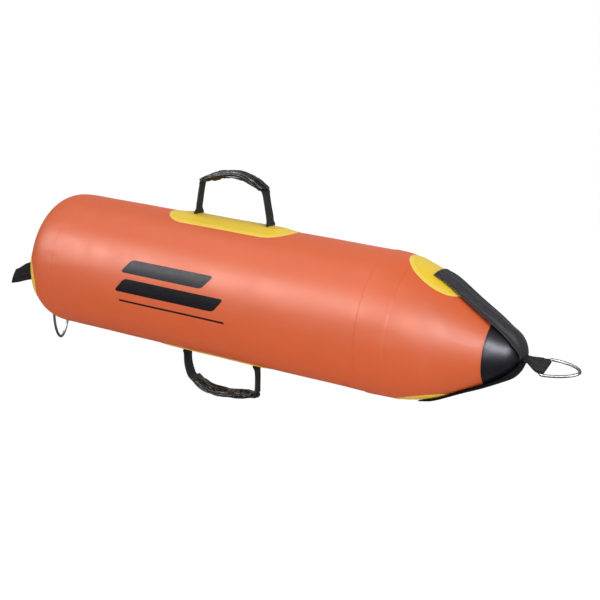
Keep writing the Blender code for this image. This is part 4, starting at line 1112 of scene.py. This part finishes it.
def fillet(points, corner, radius):
    """The points with one corner of the line rounded."""
    before = (points[corner - 1] - points[corner]).normalized()
    after = (points[corner + 1] - points[corner]).normalized()
    reach = radius / math.tan(before.angle(after) / 2)
    arc = corner_arc(points[corner] + before * reach, points[corner], points[corner] + after * reach, 8)
    return points[:corner] + arc + points[corner + 1:]


def handle_line(foot_span, shape, foot):
    """(along, height) down the middle of the webbing, from foot to foot."""
    ends = [Vector((-foot_span / 2, foot)), Vector((-foot_span / 2, foot + FOOT_RISE))]
    points = ends + arch(*shape, 40)
    points += [Vector((-end.x, end.y)) for end in reversed(ends)]
    points = fillet(points, len(points) - 3, SHOULDER_BEND)
    return fillet(points, 2, SHOULDER_BEND)


def handle_course(side, line):
    """The points along a carrying handle, side 0 on top of the hull and 1 below it, and the way across it."""
    up = 1 - 2 * side
    x = TAIL_SEAM_X + HANDLE_STATION
    points = [Vector((x + along, 0, (HULL_RADIUS + height) * up)) for along, height in line]
    return points, [Vector((0, up, 0))] * len(points)


def foot_flare(length):
    """The webbing's thickness along it: folded double for a few millimetres at each foot."""

    def thickness(along):
        from_foot = min(along, length - along)
        return WEBBING_THICKNESS * (1 + FOOT_FLARE * (1 - eased((from_foot - 0.002) / 0.004)))

    return thickness


def webbing_strip(name, points, wides, seed, turns=(0, 0), bows=(0, 0)):
    """Handle webbing along points, a little wavy and cupped, each leg turned and bowed a little."""
    along_line, length = follow(points, wides)

    def spot(along, across, over):
        from_foot = min(along, length - along)
        free = eased((from_foot - 0.004) / 0.012)
        wave = 0.0005 * noise.noise(Vector((along / 0.018, across / 0.03, seed)))
        cup = 0.0007 * (across / (WEBBING_WIDTH / 2)) ** 2
        side = 0.0007 * noise.noise(Vector((along / 0.022, 5, seed)))
        leg = along > length / 2
        turn = turns[leg] * eased((from_foot - 0.002) / 0.008) * eased((LEG_LENGTH - from_foot) / 0.010)
        over += (wave + cup) * free + bows[leg] * math.sin(math.pi * min(from_foot / LEG_LENGTH, 1)) ** 1.5
        turned_across = across * math.cos(turn) - over * math.sin(turn)
        turned_over = across * math.sin(turn) + over * math.cos(turn)
        return along_line(along, turned_across + side * free, turned_over)

    return strip(name, 0, length, 150, 12, steady(WEBBING_WIDTH), foot_flare(length), spot)


def soft_section(width, height, power, count):
    """(across, over) once round a soft rectangle, from its top left."""
    points = []
    for i in range(count + 1):
        turn = math.pi - 2 * math.pi * i / count
        across = math.copysign(abs(math.cos(turn)) ** (2 / power), math.cos(turn))
        over = math.copysign(abs(math.sin(turn)) ** (2 / power), math.sin(turn))
        points.append((width / 2 * across, height / 2 * over))
    return points


def creased(spot):
    """Sharp creases between soft rolls, from 0 in a crease to 1 on a roll."""
    return 1 - (1 - min(abs(noise.noise(spot)) * 2.6, 1)) ** 2


def grip_folds(along, turn, to_end, seed):
    """How far a grip's cloth stands off its padding."""
    round_way = (math.cos(turn), math.sin(turn))
    wander = 5 * noise.noise(Vector((along / 0.045, seed, 0)))
    swell = 1 + 1.2 * noise.noise(Vector((along / 0.022, round_way[0] * 1.5, round_way[1] * 1.5 + seed)))
    long = swell * math.cos(GRIP_LONG_FOLDS * turn + wander)
    gathers = creased(Vector((along / 0.016 + seed, round_way[0] * 0.7, round_way[1] * 0.7)))
    seam_share = near(math.cos(turn - GRIP_SEAM_TURN), 1, 0.28)
    unsteady = 2 * noise.noise(Vector((along / 0.02, seed, 0)))
    puckers = 0.5 + 0.5 * math.cos(2 * math.pi * along / 0.0090 + unsteady)
    height = 0.0009 * (long - 0.4) + 0.0008 * (gathers - 0.7) - 0.0013 * seam_share * (1 - puckers)
    return height * (1 - 0.6 * eased(1 - to_end / 0.005))


def grip_sleeve(name, side, shape, seed):
    """A padded sleeve gathered round the webbing, with long folds, puckers at its seam and loose ends."""
    along_line, length = follow(*handle_course(side, arch(*shape, 80)))
    run = length - 2 * GRIP_SETBACK
    outer = soft_section(GRIP_WIDTH, GRIP_THICKNESS, GRIP_ROUNDNESS, GRIP_COLUMNS)
    inner = soft_section(*GRIP_BORE, GRIP_BORE_ROUNDNESS, GRIP_COLUMNS)
    last = GRIP_ROWS + GRIP_TUCK_ROWS + 2

    def cut(i, j):
        """Out over the padding, back through the bore, and closed at the first end."""
        section = outer
        share = i / GRIP_ROWS
        if i > GRIP_ROWS:
            share = 1 - min(i - GRIP_ROWS - 1, GRIP_TUCK_ROWS) / GRIP_TUCK_ROWS
            section = inner
        if i == last:
            section = outer
        across, over = section[j]
        along = GRIP_SETBACK + run * share
        to_end = min(share, 1 - share) * run
        end = eased(1 - to_end / 0.012)
        way = 1 if share > 0.5 else -1
        outward = max(over / (GRIP_THICKNESS / 2), 0)
        if section is outer:
            turn = 2 * math.pi * j / GRIP_COLUMNS
            raised = grip_folds(along, turn, to_end, seed)
            pinched = 1 - 0.20 * near(to_end, 0.007, 0.006)
            if over < 0:
                pinched *= 1 - 0.62 * eased(1 - to_end / 0.020)
            across = across * (1 - 0.16 * end * outward) + math.cos(math.pi - turn) * raised
            over = over * pinched * (1 + 0.10 * end) + math.sin(math.pi - turn) * raised
        along += way * end * 0.0058 * outward * (1 - 0.5 * (across / (GRIP_WIDTH / 2)) ** 2)
        cloth = (length * min(i / GRIP_ROWS, 1), GRIP_GIRTH * j / GRIP_COLUMNS)
        return along_line(along, across, over), cloth

    return smooth(laid(name, last, GRIP_COLUMNS, cut), 70)


def handle_patch(place, foot_span, over_hull, yellow):
    """The patch of a handle, over the webbing's anchor."""
    raised = anchored(foot_span)
    piece = patch(place + "_handle_disc", HANDLE_PATCH_LENGTH, HANDLE_PATCH_WIDTH, over_hull, raised, 170, 72)
    nodes = (place + "_handle_patch", place + "_handle_anchor")
    dress(piece, "hull", "yellow_fabric", yellow, *nodes)


def carrying_handles(yellow, woven, sleeve, thread):
    kinds = (
        ("top", TOP_ARCH, 3.1, TOP_LEG_TURNS, (0, 0)),
        ("bottom", BOTTOM_ARCH, 7.7, BOTTOM_LEG_TURNS, BOTTOM_LEG_BOWS),
    )
    for side, (place, shape, seed, turns, bows) in enumerate(kinds):
        over_hull = over_line(HANDLE_DISTANCE, side)
        handle_patch(place, FOOT_SPAN, over_hull, yellow)
        body = place + "_handle"
        points, wides = handle_course(side, handle_line(FOOT_SPAN, shape, FOOT_BASE))
        band = webbing_strip(place + "_handle_strap", points, wides, seed, turns, bows)
        dress(band, None, "black_webbing", woven, place + "_handle_webbing")
        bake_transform(band)
        grip = grip_sleeve(place + "_handle_sleeve", side, shape, seed)
        dress(grip, body, "grip_fabric", sleeve, place + "_handle_grip")
        handle_stitching(place, FOOT_SPAN, over_hull, thread)


def anchored(foot_span):
    """How far a handle patch stands up over the webbing's anchor, with a lip round each slot."""

    def raised(along, across):
        past_end = abs(along) - (foot_span / 2 + ANCHOR_OVERHANG)
        past_side = abs(across) - WEBBING_WIDTH / 2
        over = eased(1 - past_end / 0.012) * eased(1 - past_side / 0.016)
        slot = max(abs(abs(along) - foot_span / 2) - WEBBING_THICKNESS / 2, past_side, 0)
        return ANCHOR_HEIGHT * over + SLOT_LIP * eased(1 - slot / 0.003)

    return raised


def handle_stitching(place, foot_span, over_hull, thread):
    """A sewn box round each foot of a handle, through the patch and the webbing under it."""
    lift = PATCH_LIFT + PATCH_THICKNESS + ANCHOR_HEIGHT
    half = WEBBING_WIDTH / 2 - SEWN_BOX_SETBACK
    rows = []
    for hand in (-1, 1):
        near_foot, far = (hand * (foot_span / 2 + past) for past in SEWN_BOX)
        corners = [(near_foot, -half), (near_foot, half), (far, half), (far, -half), (near_foot, -half)]
        line = [over_hull(*corners[0], lift)]
        for before, after in zip(corners, corners[1:]):
            line += seam(over_hull, before, after, lift, 6)[1:]
        rows.append(line)
    dress(stitching(place + "_handle_stitching", rows), "hull", "yellow_fabric", thread)


# Tail


def on_tail(out, up, lift):
    """A point over the tail's end, out towards +Y and up from the handle's middle."""
    up -= TAIL_HANDLE_DROP
    return hull_point(math.hypot(out, up), math.atan2(-out, up), lift)


def tail_handle(yellow, woven, thread):
    def over_hull(along, across, lift):
        return on_tail(-along, across, lift)

    handle_patch("tail", TAIL_FOOT_SPAN, over_hull, yellow)
    foot = Vector((TAIL_FOOT_X, 0, on_tail(TAIL_FOOT_SPAN / 2, 0, 0).z))
    path = handle_line(TAIL_FOOT_SPAN, TAIL_ARCH, TAIL_FOOT_BASE)
    fine = []
    for before, after in zip(path, path[1:]):
        steps = max(int((after - before).length / 0.002), 1)
        fine += [before.lerp(after, i / steps) for i in range(steps)]
    points = []
    wides = []
    for across, height in fine + path[-1:]:
        reach = height - TAIL_FOOT_BASE
        bent = max(reach - TAIL_SAG_START, 0)
        sag = TAIL_SAG_ANGLE * min(reach / (2 * TAIL_SAG_START), 1)
        x = foot.x + TAIL_FOOT_SINK - min(reach, TAIL_SAG_START) - bent * math.cos(TAIL_SAG_ANGLE)
        points.append(Vector((x, across, foot.z - bent * math.sin(TAIL_SAG_ANGLE))))
        sag -= TAIL_CROWN_TURN * eased((reach - 0.012) / 0.040)
        wides.append(Vector((-math.sin(sag), 0, math.cos(sag))))
    band = webbing_strip("tail_handle_strap", points, wides, 5.3)
    dress(band, None, "black_webbing", woven, "tail_handle_webbing")
    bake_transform(band)
    handle_stitching("tail", TAIL_FOOT_SPAN, over_hull, thread)


def tail_ring_mount(yellow, woven, steel, thread):
    centre = next(distance for distance, _, radius, _ in OUTLINE if radius >= TAIL_RING_RADIUS_OUT)
    size = 2 * TAIL_RING_PATCH_RADIUS
    piece = patch("tail_ring_disc", size, size, over_line(centre, 1), lambda along, across: 0, 48, 36)
    dress(piece, "hull", "yellow_fabric", yellow, "tail_ring_patch")
    bar_lift = TAIL_BAR_BASE + RUNNING_GAP + WIRE_RADIUS
    flat = PATCH_LIFT + PATCH_THICKNESS + TAIL_LOOP_REST
    tunnel = WIRE_RADIUS + RUNNING_GAP + TAIL_LOOP_THICKNESS / 2
    top = bar_lift + tunnel - flat
    foot = 2.1 * tunnel

    def spot(along, across, over):
        share = min(abs(along) / foot, 1)
        rise = top * math.cos(math.pi / 2 * share ** 1.6) ** 1.2 if share < 1 else 0
        return hull_point(centre + along, math.pi, flat + rise + over) + Vector((0, -across, 0))

    ends = (-TAIL_LOOP_HALF_LENGTH, TAIL_LOOP_HALF_LENGTH)
    width = steady(TAIL_LOOP_WIDTH)
    band = strip("tail_ring_webbing", *ends, 64, 14, width, steady(TAIL_LOOP_THICKNESS), spot)
    dress(band, "hull", "black_webbing", woven, "tail_ring_loop")
    half = TAIL_LOOP_WIDTH / 2 - TAIL_LOOP_SEAM_INSET
    outer, inner = TAIL_LOOP_SEAMS
    rows = []
    for along in (-outer, -inner, inner, outer):
        rows.append(seam(spot, (along, -half), (along, half), TAIL_LOOP_THICKNESS / 2, 8))
    dress(stitching("tail_ring_stitching", rows), "hull", "black_webbing", thread)
    lean = Vector((math.sin(TAIL_RING_LEAN), 0, -math.cos(TAIL_RING_LEAN)))
    bar = true_point(centre, math.pi, bar_lift)
    tow_ring("tail_tow_ring", "tail_ring", "tail_ring", bar, lean, Vector((0, 1, 0)), steel)


# Print on the flank


def printed_bar(number, start, end, degrees, height, slant):
    """One slanted bar with short round corners."""
    rows = 90
    columns = 16
    corner = min(INK_CORNER, height * INK_CORNER_SHARE)

    def cut(i, j):
        across = height * (j / columns - 0.5)
        share = i / rows
        inset = max(abs(across) - (height / 2 - corner), 0)
        short = corner - math.sqrt(max(corner**2 - inset**2, 0))
        along = start + (end - start) * share + slant * across / height + short * (1 - 2 * share)
        angle = math.radians(degrees) - across / HULL_RADIUS
        return hull_point(distance_at(along), angle, INK_LIFT), (along, across)

    return laid(f"mark_{number}", rows, columns, cut)


def printed_marks(ink):
    """Two plain bars and a thin line, printed on the flank that faces the camera."""
    piece = join("flank_marks", [printed_bar(number, *bar) for number, bar in enumerate(PRINTED_BARS)])
    dress(thicken(piece, INK_THICKNESS), "hull", "orange_fabric", ink)


# Valve


def valve_frame():
    """Z of this frame is the valve's axis, outwards on the far side of the hull."""
    x = TAIL_SEAM_X + VALVE_STATION
    return Matrix.Translation((x, 0, 0)) @ Matrix.Rotation(-math.pi / 2, 4, "X")


def turned(name, profile, steps=96):
    """A piece turned about the valve's axis from (radius, height) points, closed in itself."""
    deselect()
    bpy.ops.mesh.primitive_plane_add(size=0.001)
    piece = named(name)
    edit_all(piece)
    bpy.ops.mesh.merge(type="CENTER")
    spots = [Vector((radius, 0, height)) for radius, height in profile]
    bpy.ops.transform.translate(value=spots[0])
    for before, after in zip(spots, spots[1:]):
        bpy.ops.mesh.extrude_region_move(TRANSFORM_OT_translate={"value": after - before})
    bpy.ops.mesh.select_all(action="SELECT")
    bpy.ops.mesh.spin(steps=steps, angle=2 * math.pi, center=(0, 0, 0), axis=(0, 0, 1))
    end_edit()
    close_doubles(piece, outwards=True)
    piece.data.transform(valve_frame())
    return piece


def rounded(profile, radius):
    """A closed profile with its corners rounded. It ends where it starts."""
    points = []
    for i in range(len(profile)):
        corner = Vector(profile[i])
        before = Vector(profile[i - 1]) - corner
        after = Vector(profile[(i + 1) % len(profile)]) - corner
        reach = min(radius, before.length / 3, after.length / 3)
        if corner.x < 0.00001:
            points.append(corner)
            continue
        ends = [corner + way.normalized() * reach for way in (before, after)]
        points += corner_arc(ends[0], corner, ends[1], 3)
    return points + points[:1]


def washer(name, inner, outer, low):
    """A flat ring of the tether's thickness."""
    high = low + TETHER_THICKNESS
    return turned(name, rounded([(inner, low), (outer, low), (outer, high), (inner, high)], 0.0003))


def valve_disc(orange):
    """The valve's welded patch."""
    inner, outer = VALVE_PATCH_RADII
    rows = 14
    columns = 96
    station = distance_at(TAIL_SEAM_X + VALVE_STATION)

    def cut(i, j):
        radius = inner + (outer - inner) * i / rows
        turn = 2 * math.pi * j / columns
        along = radius * math.cos(turn)
        across = radius * math.sin(turn)
        to_edge = outer - radius
        lift = PATCH_LIFT - PATCH_RIM_DEPTH * (1 - eased((to_edge - PATCH_RIM / 2) / EDGE_ROLL))
        lift -= PATCH_THICKNESS * 0.5 * (1 - eased(to_edge / EDGE_ROLL))
        return hull_point(station + along, across / HULL_RADIUS - math.pi / 2, lift), (along, across)

    disc = laid("valve_disc", rows, columns, cut)
    dress(thicken(disc, PATCH_THICKNESS), "hull", "orange_fabric", orange, "valve_patch")


def valve_collar(plastic):
    collar = turned("valve_rim", rounded(COLLAR_PROFILE, COLLAR_ROUND))
    dress(smooth(collar, 35), "hull", "valve_plastic", plastic, "valve_collar")


def cap_ribs(cap):
    """Grip ribs round the cap's skirt."""
    to_world = valve_frame()
    to_valve = to_world.inverted()
    start = CAP_RADIUS - CAP_RIB_INSET
    for vert in cap.data.vertices:
        local = to_valve @ vert.co
        radius = math.hypot(local.x, local.y)
        if radius > start:
            turn = math.atan2(local.y, local.x)
            depth = CAP_RIB_DEPTH * (0.5 + 0.5 * math.cos(CAP_RIBS * turn)) * eased((radius - start) / 0.0004)
            local.xy = local.xy * (1 - depth / radius)
            vert.co = to_world @ local


def valve_cap(plastic):
    """The screw cap, dished, with a bar across it to turn it by."""
    cap = turned("valve_screw_cap", rounded(CAP_PROFILE, CAP_ROUND)[:-1], steps=240)
    cap_ribs(cap)
    deselect()
    bpy.ops.mesh.primitive_cube_add(size=1)
    bar = bpy.context.object
    edit_all(bar)
    bpy.ops.transform.resize(value=CAP_BAR)
    bpy.ops.transform.translate(value=(0, 0, CAP_TOP_HEIGHT - CAP_BAR_DROP))
    end_edit()
    apply_modifier(bar, "BEVEL", width=0.0006, segments=3)
    bar.data.transform(valve_frame())
    cap = join("valve_screw_cap", [cap, bar])
    dress(smooth(cap, 35), "valve_cap", "valve_plastic", plastic, "valve_cap")


def valve_tether(rubber):
    """A ring round the collar and an eye round the cap, with a strap between them."""
    inner, outer, low = TETHER_RING
    _, eye_edge, high = TETHER_EYE
    pieces = [washer("tether_ring", *TETHER_RING), washer("tether_eye", *TETHER_EYE)]
    middle = (inner + outer) / 2
    level = high + TETHER_THICKNESS / 2
    path = [(eye_edge - 0.0004, 0, level), (middle, 0, level), (middle, 0, low + 0.0006)]
    place = valve_frame()
    path = [place @ point for point in fillet([Vector(point) for point in path], 1, 0.0010)]
    along_line, length = follow(path, [place.to_3x3() @ Vector((0, -1, 0))] * len(path))
    strap = (steady(TETHER_WIDTH), steady(TETHER_THICKNESS))
    pieces.append(strip("tether_lead", 0, length, 24, 6, *strap, along_line))
    tether = smooth(join("valve_leash", pieces), 40)
    dress(tether, None, "valve_rubber", rubber, "valve_tether")
    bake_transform(tether)


def valve(plastic, rubber, orange, nodes):
    """The screw valve on the far side, whose inner pieces keep their solids."""
    valve_disc(orange)
    valve_collar(plastic)
    valve_cap(plastic)
    valve_tether(rubber)
    for name in ("valve_neck", "valve_gasket", "valve_flap", "valve_cap_seal"):
        for place in nodes[name].material_slots:
            place.material = plastic if name == "valve_neck" else rubber


# Studio


def camera():
    data = bpy.data.cameras.new("camera")
    data.lens = LENS
    data.sensor_width = SENSOR
    data.clip_start = 0.01
    made = bpy.data.objects.new("camera", data)
    bpy.context.collection.objects.link(made)
    heading = Matrix.Rotation(CAMERA_HEADING, 4, "Z")
    dip = Matrix.Rotation(math.pi / 2 - CAMERA_DIP, 4, "X")
    roll = Matrix.Rotation(CAMERA_ROLL, 4, "Z")
    made.matrix_world = Matrix.Translation(CAMERA_PLACE) @ heading @ dip @ roll
    bpy.context.scene.camera = made


def lamps(kinds, sheen):
    """Wide lamps: a way from the aim, a distance, a width, a height and a power each."""
    for name, way, distance, width, height, power in kinds:
        lamp = bpy.data.lights.new(name, "AREA")
        lamp.shape = "RECTANGLE"
        lamp.size = width
        lamp.size_y = height
        lamp.energy = power
        made = bpy.data.objects.new(name, lamp)
        bpy.context.collection.objects.link(made)
        way = Vector(way).normalized()
        made.location = Vector(LAMPS_AIM) + way * distance
        made.rotation_euler = way.to_track_quat("Z", "Y").to_euler()
        made.visible_camera = False
        made.visible_diffuse = not sheen
        made.visible_glossy = sheen


def mixed_shaders(tree, share, first, second):
    links = [(0, share), (1, first.outputs[0]), (2, second.outputs[0])]
    return put(tree, "ShaderNodeMixShader", links=links).outputs[0]


def surround():
    """White to the camera, an even light on the object, and a surround of two levels in what shines."""
    world = bpy.data.worlds.new("white surround")
    bpy.context.scene.world = world
    world.use_nodes = True
    tree = world.node_tree
    tree.nodes.clear()
    rays = put(tree, "ShaderNodeLightPath").outputs
    seen = arithmetic(tree, "MAXIMUM", rays["Is Camera Ray"], rays["Is Glossy Ray"])
    seen = arithmetic(tree, "MAXIMUM", seen, rays["Is Transmission Ray"])
    way = put(tree, "ShaderNodeTexCoord").outputs["Generated"]
    bright = [(1, SURROUND_BRIGHT_WAY)]
    facing = put(tree, "ShaderNodeVectorMath", bright, [(0, way)], operation="DOT_PRODUCT").outputs["Value"]
    spread = [("From Min", -0.35), ("From Max", 0.45), ("To Min", 0.05), ("To Max", 0.45)]
    level = put(tree, "ShaderNodeMapRange", spread, [("Value", facing)]).outputs["Result"]
    level = arithmetic(tree, "MAXIMUM", level, rays["Is Camera Ray"])
    shown = put(tree, "ShaderNodeBackground", [("Color", WHITE)], [("Strength", level)])
    lighting = put(tree, "ShaderNodeBackground", [("Color", WHITE), ("Strength", SURROUND_LEVEL)])
    output = put(tree, "ShaderNodeOutputWorld")
    tree.links.new(mixed_shaders(tree, seen, lighting, shown), output.inputs["Surface"])


def pale_floor():
    """A matt floor that looks white to the camera and keeps the object's shadow."""
    deselect()
    bpy.ops.mesh.primitive_plane_add(size=FLOOR_SIZE, location=(0, 0, cad_box[0][2] - FLOOR_DROP))
    floor = bpy.context.object
    floor.name = "floor"
    look, tree, shader = shader_of("pale floor", (0.80, 0.80, 0.80), 0.9)
    rays = put(tree, "ShaderNodeLightPath").outputs
    straight = arithmetic(tree, "MAXIMUM", rays["Is Camera Ray"], rays["Is Transmission Ray"])
    seen = arithmetic(tree, "MAXIMUM", straight, rays["Is Glossy Ray"])
    level = arithmetic(tree, "MULTIPLY_ADD", straight, 0.84, 0.20)
    glow = put(tree, "ShaderNodeEmission", [("Color", WHITE)], [("Strength", level)])
    share = arithmetic(tree, "MULTIPLY", seen, 0.97)
    tree.links.new(mixed_shaders(tree, share, shader, glow), tree.nodes["Material Output"].inputs["Surface"])
    floor.data.materials.append(look)


def studio():
    """Camera, soft lamps, a pale floor and a white surround."""
    camera()
    lamps(DIFFUSE_LAMPS, sheen=False)
    lamps(SHEEN_LAMPS, sheen=True)
    surround()
    pale_floor()
    bpy.context.scene.view_settings.view_transform = "Standard"


def main():
    studio()
    orange = coated_cloth("orange coated cloth", ORANGE, ORANGE_DEEP, 0.45, 0.38, tint=(0.62, 0.95, 1.0))
    yellow = coated_cloth("yellow coated cloth", YELLOW, YELLOW_DEEP, 0.42, 0.36, pale=YELLOW_PALE)
    coating = {"weave": 0.10, "tint": (0.88, 0.88, 1.0)}
    black = coated_cloth("black coated cloth", BLACK_COATING, BLACK_COATING_LIT, 0.37, 0.50, **coating)
    woven = webbing("black webbing")
    shiny = {"shine": 0.62, "roughness": 0.45, "tint": (0.90, 0.88, 1.0)}
    top_woven = webbing("black top strap webbing", fold=0.0062, **shiny)
    bottom_woven = webbing("black bottom strap webbing", fold=0.0062, shine=0.08)
    tail_woven = webbing("black tail webbing", shine=0.12)
    thread = moulded("black thread", STITCHES, STITCHES_LIT, 0.5, 1500)
    ink = moulded("black ink", INK, INK_LIT, 0.42, 900, 0.20)
    sleeve = grip_cloth()
    steel = polished_steel()
    plastic = moulded("grey valve plastic", VALVE_GREY, VALVE_GREY_LIT, 0.42, 1200)
    rubber = moulded("black rubber", RUBBER, RUBBER_LIT, 0.58, 1400)

    hull_panels(orange)
    tapes(orange)
    nose_cover(black)
    nose_patches(yellow)
    nose_straps((top_woven, bottom_woven), thread)
    nose_loop(woven, thread)
    nose_ring(steel)
    carrying_handles(yellow, woven, sleeve, thread)
    tail_handle(yellow, tail_woven, thread)
    tail_ring_mount(yellow, woven, steel, thread)
    printed_marks(ink)
    valve(plastic, rubber, orange, frame["nodes"])


main()
